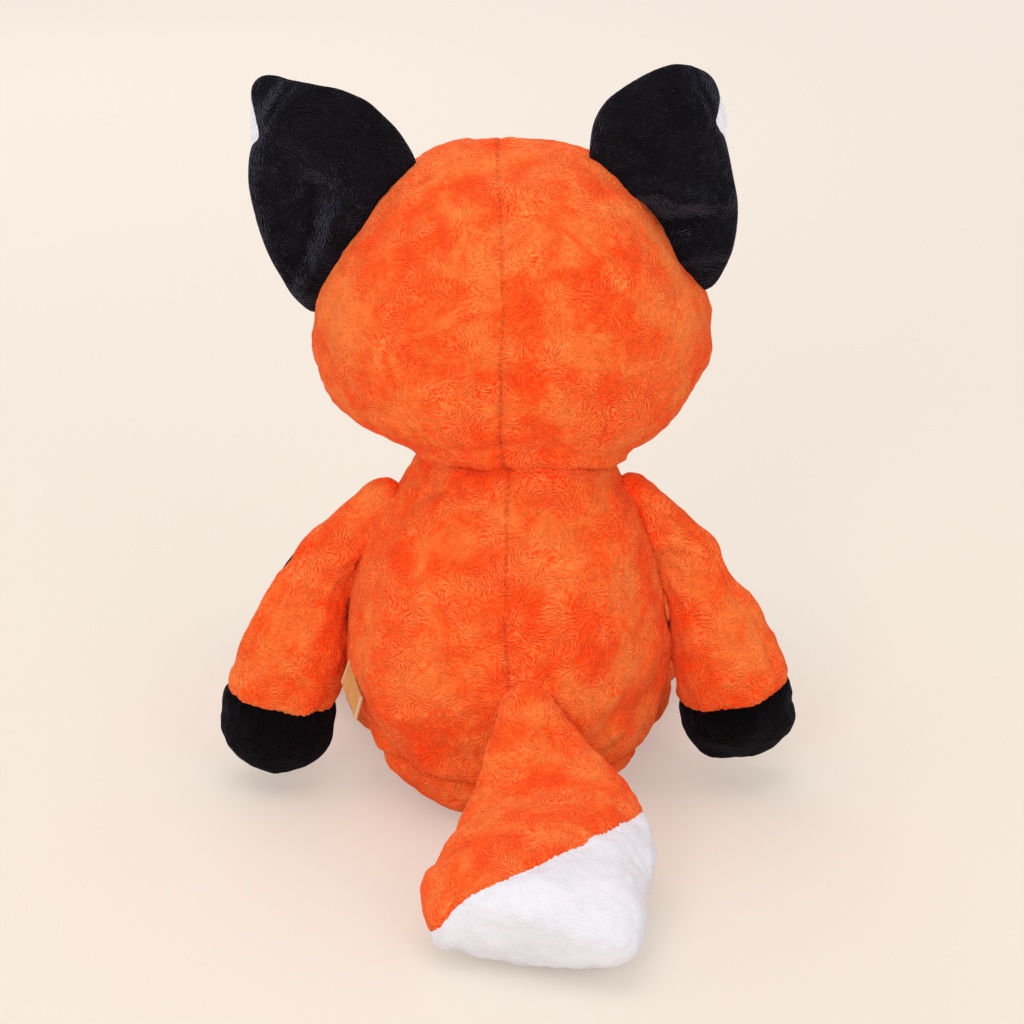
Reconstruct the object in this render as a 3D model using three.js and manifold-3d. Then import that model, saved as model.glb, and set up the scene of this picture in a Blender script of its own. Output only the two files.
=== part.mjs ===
// A sitting plush fox, sewn from short-pile fabric panels over soft stuffing.
// Units are millimetres. +Z is up, the fox faces -Y, and +X is the fox's own left.
// The origin is the middle of the flat place that it sits on.
import * as THREE from "three";
import { mergeVertices } from "three/addons/utils/BufferGeometryUtils.js";
import Module from "manifold-3d";

const wasm = await Module();
wasm.setup();

// Fabric, seams and clearances
const fabricWall = 2.6;
const seamGap = 0.3;
const seatCut = 0.5;
const rootFaceShare = 0.6;
const floorClearance = 0.6;
const cutterSize = 900;

// Body
const bodyWidth = 150;
const bodyDepth = 134;
const bodyHeight = 196;
const bodyWidthShares = [0.68, 0.85, 0.96, 1, 0.97, 0.89, 0.75, 0.6, 0.5];
const bodyDepthShares = [0.76, 0.86, 0.95, 1, 0.985, 0.91, 0.79, 0.7, 0.56];
const bodyBaseShare = 0.17;
const bodyBasePower = 3.6;
const seatSeamHeight = 23;
const bellySeamShare = 0.36;
const pelletBagWidth = 80;
const pelletBagHeight = 27;

// Neck, where the head turns
const neckHeight = 163;
const neckTilt = degrees(16);
const neckSideways = -3;

// Head
const headWidth = 185;
const headDepth = 160;
const headHeight = 151;
const headRise = 66.5;
const headCrownShare = 0.53;
const headCheekPower = 2.25;
const headYaw = degrees(3);
const cheekTilt = degrees(60);
const cheekShare = 0.6;

// Muzzle
const muzzleWidth = 62;
const muzzleHeight = 46;
const muzzleLength = 76;
const muzzleDrop = 22;
const muzzleTilt = degrees(6);
const muzzleShares = [1, 1, 0.96, 0.82, 0.66];
const muzzleStartShare = 0.2;
const muzzleEndShare = 0.4;

// Nose and eyes, and the washers that hold them
const noseWidth = 22;
const noseHeight = 15;
const noseBulge = 7;
const nosePlaceShare = 0.93;
const eyeWidth = 15;
const eyeBulge = 6;
const eyeAngle = degrees(26);
const eyePlaceShare = 0.47;
const stemWidth = 5;
const stemLength = 13;
const washerWidth = 15;
const washerThickness = 1.6;
const washerBed = 1.2;

// Ears, with every place as a share of the ear's height or of the head's half sizes
const earHeight = 80;
const earWidth = 80;
const earThickness = 12;
const earCup = 5;
const earForward = 5;
const earDepthShares = [1, 1];
const earStartShare = 0.1;
const earEndShare = 0.33;
const earSwing = [degrees(-15), degrees(20)];
const earPlans = {
  left: {
    widthShares: [1.05, 1.08, 1, 0.84, 0.66],
    spineShares: [[-0.17, -0.36], [0.01, -0.06], [0.18, 0.25], [0.355, 0.54], [0.58, 0.83]],
    rootShares: [0.715, 0.45],
    baseLean: degrees(55),
  },
  right: {
    widthShares: [0.9, 0.95, 0.86, 0.68, 0.58],
    spineShares: [[-0.07, -0.39], [-0.006, -0.063], [0.05, 0.275], [0.085, 0.588], [0.16, 0.9]],
    rootShares: [0.69, 0.51],
    baseLean: degrees(47),
  },
};

// Arms, which hang beside the body, with knots as shares of the arm's length
const armLengths = { left: 150, right: 147 };
const armWidth = 55;
const armDepth = 46;
const armBallWidth = 20;
const shoulderHeight = 145;
const shoulderReach = 1;
const armKnotShares = {
  left: [
    [0.075, 0, -0.08], [0.165, -0.005, -0.19], [0.245, -0.01, -0.355],
    [0.3, -0.015, -0.53], [0.34, -0.02, -0.7], [0.37, -0.02, -0.925],
  ],
  right: [
    [0.07, 0, -0.085], [0.15, -0.005, -0.2], [0.225, -0.01, -0.36],
    [0.285, -0.015, -0.53], [0.335, -0.02, -0.7], [0.37, -0.02, -0.925],
  ],
};
const armWidthShares = [0.4, 0.55, 0.69, 0.855, 0.955, 1, 0.98];
const armDepthShares = [0.45, 0.57, 0.7, 0.83, 0.95, 1, 0.98];
const armEndShare = 0.17;
const pawSeamShare = 0.76;
const armSwingAxis = [-0.644, -0.718, -0.262];
const armSwing = [degrees(0), degrees(65)];

// Legs, which lie forward on the floor, with knots along the leg
const legReach = 158;
const legWidth = 66;
const legHeight = 67;
const legBallWidth = 60;
const legSplays = { left: degrees(18), right: degrees(13) };
const hipAngle = degrees(47);
const hipStandoff = 9;
const legKnotShares = [0.17, 0.34, 0.51, 0.67, 0.83, 1];
const legWidthShares = [0.91, 0.79, 0.93, 1, 1, 0.95, 0.93];
const legHeightShares = [0.86, 0.74, 0.82, 0.88, 0.92, 0.98, 1];
const legEndShare = 0.15;
const footSeamShare = 0.69;
const legSwing = [degrees(-10), degrees(30)];

// Tail, which lies back on the floor, with knots as shares of the tail's length
const tailLength = 170;
const tailWidth = 98;
const tailHeight = 47;
const tailBallWidth = 22;
const tailRootHeight = 72;
const tailRootAngle = degrees(97);
const tailKnotShares = [
  [-0.025, 0.14, -0.1], [-0.045, 0.28, -0.2], [-0.05, 0.42, -0.265],
  [-0.05, 0.55, -0.279], [-0.08, 0.67, -0.279], [-0.15, 0.77, -0.279],
];
const tailWidthShares = [0.25, 0.5, 0.82, 1.01, 1.03, 1, 0.92];
const tailHeightShares = [0.43, 0.56, 0.76, 0.95, 1, 1, 0.95];
const tailEndShare = 0.22;
const tailEndPower = 2.8;
const tailSeamShare = 0.64;
const tailSeamTurn = degrees(40);
const tailSeamLean = degrees(45);
const tailSwing = [degrees(0), degrees(55)];

// Side label
const labelDrop = 13;
const labelThickness = 1;
const labelFlare = degrees(30);
const labelTopHeight = 69;
const labelBottomHeight = 55;
const labelAngles = [degrees(11), degrees(23)];

// How finely each kind of form is drawn: steps round it and steps along it
const largeSteps = [22, 14];
const largeInnerSteps = [16, 10];
const limbSteps = [14, 11];
const limbInnerSteps = [10, 8];
const earSteps = [16, 10];
const socketSteps = [16, 6];
const innerSocketSteps = [8, 6];
const smallSteps = [12, 6];
const sweepSteps = 6;

// Colours and finishes
const orangePile = { color: 0xfc5d22, roughness: 0.95, metalness: 0 };
const whitePile = { color: 0xeeeaf1, roughness: 0.95, metalness: 0 };
const blackPile = { color: 0x14110f, roughness: 0.9, metalness: 0 };
const stuffing = { color: 0xf2efe8, roughness: 1, metalness: 0 };
const pelletCloth = { color: 0xd9d3c6, roughness: 1, metalness: 0 };
const blackPlastic = { color: 0x080808, roughness: 0.12, metalness: 0 };
const washerPlastic = { color: 0xe6e6e0, roughness: 0.4, metalness: 0 };
const wovenLabel = { color: 0xc9943f, roughness: 0.7, metalness: 0 };

const up = vector(0, 0, 1);
const rear = vector(0, 1, 0);
const leftward = vector(1, 0, 0);
const sides = ["left", "right"];

function degrees(value) {
  return (value * Math.PI) / 180;
}

function vector(x, y, z) {
  return new THREE.Vector3(x, y, z);
}

// +1 on the fox's left and -1 on its right.
function outOf(side) {
  return side === "left" ? 1 : -1;
}

// A smooth run through evenly spaced values, read a share of the way along it.
function along(values, share) {
  const points = values.map((value, index) => new THREE.Vector2(index, value));
  return new THREE.SplineCurve(points).getPoint(share).y;
}

function spineThrough(points) {
  return new THREE.CatmullRomCurve3(points, false, "catmullrom");
}

// A limb's spine starts one ball's radius behind its root and runs out through its knots.
function limbSpine(root, ballRadius, knots) {
  const outward = knots[0].clone().sub(root).normalize();
  const start = root.clone().addScaledVector(outward, -ballRadius);
  return spineThrough([start, root, ...knots]);
}

// Rounding of an end: 0 at the tip, 1 once the end's own length is over.
function rounding(share, endShare, power) {
  if (share >= endShare) return 1;
  return (1 - (1 - share / endShare) ** power) ** (1 / power);
}

// A point of a stuffed form. The unit sphere's +Y pole is the start of the form's spine.
function formPoint(form, unit) {
  const share = THREE.MathUtils.clamp((1 - unit.y) / 2, 0, 1);
  const ring = Math.hypot(unit.x, unit.z);
  const isPole = ring < 1e-6;
  const across = isPole ? 0 : unit.x / ring;
  const upward = isPole ? 0 : unit.z / ring;
  const startRound = rounding(share, form.startShare, form.startPower ?? 2);
  const endRound = rounding(1 - share, form.endShare, form.endPower ?? 2);
  const round = isPole ? 0 : startRound * endRound;
  const tangent = form.spine.getTangentAt(share);
  const depthSide = form.depthSide.clone();
  depthSide.addScaledVector(tangent, -depthSide.dot(tangent)).normalize();
  const widthSide = depthSide.clone().cross(tangent);
  const halfWidth = (form.width / 2) * along(form.widthShares, share) * round;
  const halfDepth = (form.depth / 2) * along(form.depthShares, share) * round;
  const bend = (form.cup ?? 0) * (across * round) ** 2;
  const depth = form.half
    ? form.half * (Math.max(0, form.half * upward) * halfDepth + seamGap / 2)
    : upward * halfDepth;
  const point = form.spine.getPointAt(share);
  point.addScaledVector(widthSide, across * halfWidth);
  return point.addScaledVector(depthSide, depth + bend);
}

// Point and outward normal on a form, a share of the way along and at an angle round it.
function surfaceAt(form, share, angle) {
  const step = 1 / 300;
  const pointAt = (someShare, someAngle) => {
    const height = 1 - 2 * someShare;
    const ring = Math.sqrt(1 - height * height);
    return formPoint(form, vector(ring * Math.cos(someAngle), height, ring * Math.sin(someAngle)));
  };
  const point = pointAt(share, angle);
  const onward = pointAt(share + step, angle).sub(point);
  const around = pointAt(share, angle + step).sub(point);
  return { point, normal: around.cross(onward).normalize() };
}

// A stuffed form as a closed solid, drawn in from the outer surface by inset.
function formSolid(form, [segments, rings], inset = 0) {
  const ball = new THREE.SphereGeometry(1, segments, rings);
  ball.deleteAttribute("normal");
  ball.deleteAttribute("uv");
  const geometry = mergeVertices(ball);
  const places = geometry.attributes.position;
  for (let index = 0; index < places.count; index += 1) {
    const unit = vector(0, 0, 0).fromBufferAttribute(places, index);
    places.setXYZ(index, ...formPoint(form, unit).toArray());
  }
  geometry.computeVertexNormals();
  for (let index = 0; index < places.count; index += 1) {
    const normal = vector(0, 0, 0).fromBufferAttribute(geometry.attributes.normal, index);
    const place = vector(0, 0, 0).fromBufferAttribute(places, index);
    places.setXYZ(index, ...place.addScaledVector(normal, -inset).toArray());
  }
  return solidOf(geometry);
}

// A closed geometry as a solid that can be cut and joined.
function solidOf(source) {
  const bare = source.clone();
  bare.deleteAttribute("normal");
  bare.deleteAttribute("uv");
  const geometry = mergeVertices(bare);
  const vertProperties = new Float32Array(geometry.attributes.position.array);
  const triVerts = new Uint32Array(geometry.index.array);
  return new wasm.Manifold(new wasm.Mesh({ numProp: 3, vertProperties, triVerts }));
}

function meshOf(name, solid, finish) {
  const { numProp, vertProperties, triVerts } = solid.getMesh();
  const places = [];
  for (let index = 0; index < vertProperties.length; index += numProp) {
    places.push(...vertProperties.slice(index, index + 3));
  }
  const geometry = new THREE.BufferGeometry();
  geometry.setAttribute("position", new THREE.Float32BufferAttribute(places, 3));
  geometry.setIndex(Array.from(triVerts));
  geometry.computeVertexNormals();
  const mesh = new THREE.Mesh(geometry, new THREE.MeshStandardMaterial(finish));
  mesh.name = name;
  return mesh;
}

function offsetPoint(point, normal, distance) {
  return point.clone().addScaledVector(normal, distance);
}

// All the space on the side of a plane that its normal points to.
function spaceBeyond(point, normal) {
  const block = new THREE.BoxGeometry(cutterSize, cutterSize, cutterSize);
  block.translate(0, 0, cutterSize / 2);
  block.applyQuaternion(new THREE.Quaternion().setFromUnitVectors(up, normal));
  block.translate(...point.toArray());
  return solidOf(block);
}

// Cuts a solid in two along a plane, with the seam's gap between the halves.
function partedAt(solid, point, normal) {
  const fromNear = spaceBeyond(offsetPoint(point, normal, -seamGap / 2), normal);
  const fromFar = spaceBeyond(offsetPoint(point, normal, seamGap / 2), normal);
  return [solid.subtract(fromNear), solid.intersect(fromFar)];
}

function rod(start, direction, radius, length) {
  const cylinder = new THREE.CylinderGeometry(radius, radius, length, smallSteps[0]);
  cylinder.translate(0, length / 2, 0);
  cylinder.applyQuaternion(new THREE.Quaternion().setFromUnitVectors(rear, direction));
  cylinder.translate(...start.toArray());
  return solidOf(cylinder);
}

// An ellipsoid whose second radius lies along the direction.
function ellipsoid(centre, direction, radii, [segments, rings]) {
  const ball = new THREE.SphereGeometry(1, segments, rings);
  ball.scale(...radii);
  ball.applyQuaternion(new THREE.Quaternion().setFromUnitVectors(rear, direction));
  ball.translate(...centre.toArray());
  return solidOf(ball);
}

// The ball that turns at a joint, with its poles on the axis.
function ballRoot({ point, axis }, radius) {
  return ellipsoid(point, axis, [radius, radius, radius], socketSteps);
}

// The space for such a ball. It is widened so that no corner of the ball turns into its flat faces.
function socket({ point, axis }, radius, steps = socketSteps) {
  const reach = radius / Math.cos(Math.PI / steps[0]);
  return ellipsoid(point, axis, [reach, radius, reach], steps);
}

function turned(solid, point, axis, angle) {
  const matrix = new THREE.Matrix4().makeTranslation(...point.toArray());
  matrix.multiply(new THREE.Matrix4().makeRotationAxis(axis, angle));
  matrix.multiply(new THREE.Matrix4().makeTranslation(...point.clone().negate().toArray()));
  return solid.transform(matrix.elements);
}

// Cuts a piece clear of what carries it, at every angle that its joint reaches.
function clearedThrough(solid, carrier, joint) {
  const [lowest, highest] = joint.swing;
  let cleared = solid.subtract(carrier);
  for (let step = 0; step <= sweepSteps; step += 1) {
    const angle = THREE.MathUtils.lerp(lowest, highest, step / sweepSteps);
    if (angle !== 0) cleared = cleared.subtract(turned(carrier, joint.point, joint.axis, -angle));
  }
  return cleared;
}

// A domed stud with a stem through the fabric, the washer pressed on behind it, and their room.
function stud(form, place, [halfWidth, bulge, halfHeight]) {
  const inward = place.normal.clone().negate();
  const above = offsetPoint(place.point, place.normal, bulge / 2);
  const stem = rod(above, inward, stemWidth / 2, bulge / 2 + stemLength);
  const seat = formSolid(form, largeSteps, -seamGap);
  const dome = ellipsoid(place.point, place.normal, [halfWidth, bulge, halfHeight], smallSteps);
  const hole = rod(above, inward, stemWidth / 2 + seamGap, bulge + stemLength);
  const washerPlace = offsetPoint(place.point, inward, fabricWall + washerBed);
  const disc = rod(washerPlace, inward, washerWidth / 2, washerThickness);
  const pocket = rod(above, inward, washerWidth / 2 + seamGap, bulge / 2 + stemLength + seamGap);
  const bedPlace = offsetPoint(washerPlace, place.normal, seamGap);
  const bed = rod(bedPlace, inward, washerWidth / 2 + seamGap, stemLength);
  return { cap: dome.subtract(seat).add(stem), washer: disc.subtract(hole), hole: hole.add(bed), pocket };
}

// Body form: upright, with its lowest half millimetre left for the flat seat.
const bodyForm = {
  spine: spineThrough([
    vector(0, 0, -seatCut),
    vector(0, 0, bodyHeight / 2),
    vector(neckSideways, 0, bodyHeight),
  ]),
  depthSide: rear,
  width: bodyWidth,
  depth: bodyDepth,
  widthShares: bodyWidthShares,
  depthShares: bodyDepthShares,
  startShare: bodyBaseShare,
  startPower: bodyBasePower,
  endShare: bodyBaseShare,
};

function bodySurface(height, angle) {
  return surfaceAt(bodyForm, (height + seatCut) / (bodyHeight + seatCut), angle);
}

// Head form: an egg that stands on the neck's tilted plane, a little turned.
const neckPoint = vector(neckSideways, 0, neckHeight);
const neckNormal = vector(0, -Math.sin(neckTilt), Math.cos(neckTilt));
const headCentre = offsetPoint(neckPoint, neckNormal, headRise);
const headChin = offsetPoint(headCentre, up, -headHeight * (1 - headCrownShare));
const faceRear = rear.clone().applyAxisAngle(up, -headYaw);
const faceForward = faceRear.clone().negate();
const faceLeft = leftward.clone().applyAxisAngle(up, -headYaw);
const headForm = {
  spine: spineThrough([0, headHeight / 2, headHeight].map((height) => offsetPoint(headChin, up, height))),
  depthSide: faceRear,
  width: headWidth,
  depth: headDepth,
  widthShares: [1, 1],
  depthShares: [1, 1],
  startShare: 1 - headCrownShare,
  startPower: headCheekPower,
  endShare: headCrownShare,
};
const faceAngle = -Math.PI / 2;

// Muzzle form: it starts inside the head and runs out of its lower front.
const muzzleShareUp = 1 - headCrownShare - muzzleDrop / headHeight;
const muzzleRoot = surfaceAt(headForm, muzzleShareUp, faceAngle).point;
const muzzleRun = faceForward.clone().applyAxisAngle(faceLeft, muzzleTilt);
const muzzleForm = {
  spine: spineThrough([-0.5, 0, 0.5].map((share) => offsetPoint(muzzleRoot, muzzleRun, share * muzzleLength))),
  depthSide: up,
  width: muzzleWidth,
  depth: muzzleHeight,
  widthShares: muzzleShares,
  depthShares: muzzleShares,
  startShare: muzzleStartShare,
  endShare: muzzleEndShare,
};

// Arm forms start in a small ball at the shoulder and widen down to the paw.
function armFormOf(side) {
  const out = outOf(side);
  const place = bodySurface(shoulderHeight, side === "left" ? 0 : Math.PI);
  const root = offsetPoint(place.point, place.normal, shoulderReach).setZ(shoulderHeight);
  const knots = armKnotShares[side].map(([across, back, rise]) => {
    return vector(out * across, back, rise).multiplyScalar(armLengths[side]).add(root);
  });
  const spine = limbSpine(root, armBallWidth / 2, knots);
  const [x, y, z] = armSwingAxis;
  return {
    spine,
    depthSide: rear,
    width: armWidth,
    depth: armDepth,
    widthShares: [armBallWidth / armWidth, ...armWidthShares],
    depthShares: [armBallWidth / armDepth, ...armDepthShares],
    startShare: armBallWidth / 2 / spine.getLength(),
    endShare: armEndShare,
    ballRadius: armBallWidth / 2,
    seamShare: pawSeamShare,
    joint: {
      name: `arm_${side}_lift`,
      point: root,
      axis: vector(x, out * y, out * z).normalize(),
      swing: armSwing,
    },
  };
}

// Leg forms start in a ball at the hip and lie along the floor to a tall foot.
function legFormOf(side) {
  const out = outOf(side);
  const ballRadius = legBallWidth / 2;
  const hipHeight = ballRadius + 2 * floorClearance;
  const place = bodySurface(hipHeight, side === "left" ? -hipAngle : hipAngle - Math.PI);
  const root = offsetPoint(place.point, place.normal.clone().setZ(0).normalize(), hipStandoff).setZ(hipHeight);
  const run = rear.clone().negate().applyAxisAngle(up, out * legSplays[side]);
  const knots = legKnotShares.map((share, index) => {
    const halfHeight = (legHeight / 2) * legHeightShares[index + 1];
    const lift = Math.max(0, halfHeight + floorClearance - hipHeight);
    return offsetPoint(root, run, share * legReach).setZ(hipHeight + lift);
  });
  const spine = limbSpine(root, ballRadius, knots);
  return {
    spine,
    depthSide: up,
    width: legWidth,
    depth: legHeight,
    widthShares: [legBallWidth / legWidth, ...legWidthShares],
    depthShares: [legBallWidth / legHeight, ...legHeightShares],
    startShare: ballRadius / spine.getLength(),
    endShare: legEndShare,
    ballRadius,
    seamShare: footSeamShare,
    joint: {
      name: `leg_${side}_lift`,
      point: root,
      axis: run.clone().cross(up).normalize(),
      swing: legSwing,
    },
  };
}

// Tail form: it starts in a small ball low on the back and widens to a brush on the floor.
function tailFormOf() {
  const root = bodySurface(tailRootHeight, tailRootAngle).point;
  const knots = tailKnotShares.map((shares) => vector(...shares).multiplyScalar(tailLength).add(root));
  const ballRadius = tailBallWidth / 2;
  const spine = limbSpine(root, ballRadius, knots);
  return {
    spine,
    depthSide: up,
    width: tailWidth,
    depth: tailHeight,
    widthShares: [tailBallWidth / tailWidth, ...tailWidthShares],
    depthShares: [tailBallWidth / tailHeight, ...tailHeightShares],
    startShare: ballRadius / spine.getLength(),
    endShare: tailEndShare,
    endPower: tailEndPower,
    ballRadius,
    seamShare: tailSeamShare,
    seamNormal: rear.clone().applyAxisAngle(leftward, -tailSeamLean).applyAxisAngle(up, tailSeamTurn),
    joint: { name: "tail_lift", point: root, axis: leftward, swing: tailSwing },
  };
}

const armForms = { left: armFormOf("left"), right: armFormOf("right") };
const legForms = { left: legFormOf("left"), right: legFormOf("right") };
const tailForm = tailFormOf();
const limbForms = [...Object.values(armForms), ...Object.values(legForms), tailForm];

// Where the limbs sit in the body, at a distance from their balls.
function withoutSockets(solid, distance, steps = socketSteps) {
  return limbForms.reduce((left, form) => {
    return left.subtract(socket(form.joint, form.ballRadius + distance, steps));
  }, solid);
}

const aboveSeat = spaceBeyond(vector(0, 0, 0), up);
// A plainer body that stays outside the real one's flat faces, for the limbs to keep clear of.
const flatness = (bodyWidth / 2) * (1 - Math.cos(Math.PI / largeInnerSteps[0]));
const bodyClearance = formSolid(bodyForm, largeInnerSteps, -2 * seamGap - flatness);

// Torso: the orange back in two halves, the white belly, the seat, and what fills them.
function torsoGroup() {
  const aboveNeck = spaceBeyond(offsetPoint(neckPoint, neckNormal, -seamGap / 2), neckNormal);
  const outer = withoutSockets(formSolid(bodyForm, largeSteps), seamGap).intersect(aboveSeat);
  const hollow = withoutSockets(
    formSolid(bodyForm, largeInnerSteps, fabricWall + seatCut),
    seamGap + fabricWall,
    innerSocketSteps,
  );
  const cover = outer.subtract(hollow).subtract(aboveNeck);
  const [seat, upper] = partedAt(cover, vector(0, 0, seatSeamHeight), up);
  const [back, belly] = partedAt(upper, vector(0, -bellySeamShare * bodyDepth, 0), rear.clone().negate());
  const [backRight, backLeft] = partedAt(back, vector(0, 0, 0), leftward);

  const stuffed = withoutSockets(
    formSolid(bodyForm, largeInnerSteps, fabricWall + seatCut + seamGap),
    fabricWall + 2 * seamGap,
    innerSocketSteps,
  ).subtract(aboveNeck);
  const bagRadii = [pelletBagWidth / 2, pelletBagWidth / 2, pelletBagHeight];
  const bagSpace = ellipsoid(vector(0, 0, 0), rear, bagRadii.map((radius) => radius + seamGap), limbInnerSteps);
  const bag = stuffed.intersect(ellipsoid(vector(0, 0, 0), rear, bagRadii, limbInnerSteps));

  const group = new THREE.Group();
  group.add(meshOf("back_panel_left", backLeft, orangePile));
  group.add(meshOf("back_panel_right", backRight, orangePile));
  group.add(meshOf("belly_panel", belly, whitePile));
  group.add(meshOf("seat_panel", seat, orangePile));
  group.add(meshOf("body_filling", stuffed.subtract(bagSpace), stuffing));
  group.add(meshOf("pellet_bag", bag, pelletCloth));
  group.add(meshOf("side_label", labelSolid(), wovenLabel));
  return group;
}

// Label: a short folded tab in the left side seam that hangs down and a little outward.
function labelSolid() {
  const top = bodySurface(labelTopHeight, labelAngles[0]);
  const bottom = bodySurface(labelBottomHeight, labelAngles[1]);
  const flap = up.clone().multiplyScalar(-Math.cos(labelFlare) * labelDrop);
  flap.addScaledVector(bottom.normal, Math.sin(labelFlare) * labelDrop);
  const edge = bottom.point.clone().sub(top.point);
  const face = edge.clone().cross(flap).normalize();
  const corners = [vector(0, 0, 0), edge, edge.clone().add(flap), flap];
  const acrossEdge = edge.clone().normalize();
  const acrossFlap = face.clone().cross(acrossEdge);
  const outline = new THREE.Shape(
    corners.map((corner) => new THREE.Vector2(corner.dot(acrossEdge), corner.dot(acrossFlap))),
  );
  const tab = new THREE.ExtrudeGeometry(outline, { depth: labelThickness, bevelEnabled: false });
  tab.applyMatrix4(new THREE.Matrix4().makeBasis(acrossEdge, acrossFlap, face));
  tab.translate(...top.point.toArray());
  return solidOf(tab).subtract(bodyClearance);
}

// Head: two orange halves, two white cheeks, the muzzle, the eyes and nose, and the stuffing.
function headGroup() {
  const belowNeck = spaceBeyond(offsetPoint(neckPoint, neckNormal, seamGap / 2), neckNormal.clone().negate());
  const eyes = sides.map((side) => {
    const place = surfaceAt(headForm, eyePlaceShare, faceAngle + outOf(side) * eyeAngle);
    return { side, ...stud(headForm, place, [eyeWidth / 2, eyeBulge, eyeWidth / 2]) };
  });
  const nosePlace = surfaceAt(muzzleForm, nosePlaceShare, Math.PI / 2);
  const nose = stud(muzzleForm, nosePlace, [noseWidth / 2, noseBulge, noseHeight / 2]);

  const hollow = formSolid(headForm, largeInnerSteps, fabricWall);
  let cover = formSolid(headForm, largeSteps).subtract(hollow).subtract(belowNeck);
  let stuffed = formSolid(headForm, largeInnerSteps, fabricWall + seamGap).subtract(belowNeck);
  for (const eye of eyes) {
    cover = cover.subtract(eye.hole);
    stuffed = stuffed.subtract(eye.pocket);
  }
  const cheekNormal = faceForward.clone().multiplyScalar(Math.cos(cheekTilt));
  cheekNormal.addScaledVector(up, -Math.sin(cheekTilt));
  const cheekPoint = offsetPoint(headCentre, cheekNormal, (cheekShare * headHeight) / 2);
  const [skull, cheeks] = partedAt(cover, cheekPoint, cheekNormal);
  const [skullRight, skullLeft] = partedAt(skull, headCentre, faceLeft);
  const [cheekRight, cheekLeft] = partedAt(cheeks, headCentre, faceLeft);

  const headClearance = formSolid(headForm, largeSteps, -seamGap);
  const muzzleHollow = formSolid(muzzleForm, limbInnerSteps, fabricWall);
  const muzzle = formSolid(muzzleForm, limbSteps).subtract(muzzleHollow).subtract(headClearance);
  const muzzleStuffed = formSolid(muzzleForm, limbInnerSteps, fabricWall + seamGap).subtract(headClearance);

  const group = new THREE.Group();
  group.add(meshOf("head_panel_left", skullLeft, orangePile));
  group.add(meshOf("head_panel_right", skullRight, orangePile));
  group.add(meshOf("cheek_left", cheekLeft, whitePile));
  group.add(meshOf("cheek_right", cheekRight, whitePile));
  group.add(meshOf("muzzle", muzzle.subtract(nose.hole), whitePile));
  group.add(meshOf("muzzle_filling", muzzleStuffed.subtract(nose.pocket), stuffing));
  group.add(meshOf("nose", nose.cap, blackPlastic));
  group.add(meshOf("nose_washer", nose.washer, washerPlastic));
  for (const eye of eyes) {
    group.add(meshOf(`eye_${eye.side}`, eye.cap, blackPlastic));
    group.add(meshOf(`eye_washer_${eye.side}`, eye.washer, washerPlastic));
  }
  group.add(meshOf("head_filling", stuffed, stuffing));
  group.userData.joint = { name: "head_turn", point: neckPoint, axis: neckNormal };
  return group;
}

// Ear: a black back and a white front, sewn round the rim and bent along the base.
function earGroup(side) {
  const plan = earPlans[side];
  const out = outOf(side);
  const [rootAcross, rootUp] = plan.rootShares;
  const root = offsetPoint(headCentre, faceLeft, (out * rootAcross * headWidth) / 2);
  root.addScaledVector(up, rootUp * headCrownShare * headHeight).addScaledVector(faceForward, -earForward);
  const spine = plan.spineShares.map(([across, rise]) => {
    return offsetPoint(root, faceLeft, out * across * earHeight).addScaledVector(up, rise * earHeight);
  });
  const form = {
    spine: spineThrough(spine),
    depthSide: faceForward,
    width: earWidth,
    depth: earThickness,
    widthShares: plan.widthShares,
    depthShares: earDepthShares,
    startShare: earStartShare,
    endShare: earEndShare,
    cup: earCup,
  };
  const axis = vector(Math.cos(plan.baseLean), 0, -out * Math.sin(plan.baseLean));
  const joint = { name: `ear_${side}_bend`, point: root, axis, swing: earSwing };
  const headClearance = formSolid(headForm, largeSteps, -seamGap);
  const halves = [1, -1].map((half) => {
    return clearedThrough(formSolid({ ...form, half }, earSteps), headClearance, joint);
  });

  const group = new THREE.Group();
  group.add(meshOf(`ear_front_${side}`, halves[0], whitePile));
  group.add(meshOf(`ear_back_${side}`, halves[1], blackPile));
  group.userData.joint = joint;
  return group;
}

// Limb: a cover and a tip that meet at a seam, over one stuffing, with an open root.
function limbGroup(form, names, finishes) {
  const { joint, ballRadius, seamShare, spine } = form;
  const seamNormal = form.seamNormal ?? spine.getTangentAt(seamShare);
  const outward = spine.getTangentAt(form.startShare);
  const rootFace = offsetPoint(joint.point, outward, -ballRadius * rootFaceShare);
  const beyondRoot = spaceBeyond(rootFace, outward);
  const carrier = bodyClearance.subtract(ballRoot(joint, ballRadius));
  const outer = clearedThrough(formSolid(form, limbSteps).intersect(beyondRoot), carrier, joint);
  const hollow = formSolid(form, limbInnerSteps, fabricWall);
  const [cover, tip] = partedAt(outer.subtract(hollow), spine.getPointAt(seamShare), seamNormal);
  const stuffed = formSolid(form, limbInnerSteps, fabricWall + seamGap).intersect(beyondRoot);

  const group = new THREE.Group();
  group.add(meshOf(names[0], cover, finishes[0]));
  group.add(meshOf(names[1], tip, finishes[1]));
  group.add(meshOf(names[2], clearedThrough(stuffed, carrier, joint), stuffing));
  group.userData.joint = joint;
  return group;
}

const fox = new THREE.Group();
fox.add(torsoGroup());
fox.add(headGroup());
for (const side of sides) {
  fox.add(earGroup(side));
  const armNames = [`arm_${side}`, `paw_${side}`, `arm_filling_${side}`];
  const legNames = [`leg_${side}`, `foot_${side}`, `leg_filling_${side}`];
  fox.add(limbGroup(armForms[side], armNames, [orangePile, blackPile]));
  fox.add(limbGroup(legForms[side], legNames, [orangePile, blackPile]));
}
fox.add(limbGroup(tailForm, ["tail", "tail_tip", "tail_filling"], [orangePile, whitePile]));

export default fox;
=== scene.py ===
import math

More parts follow.
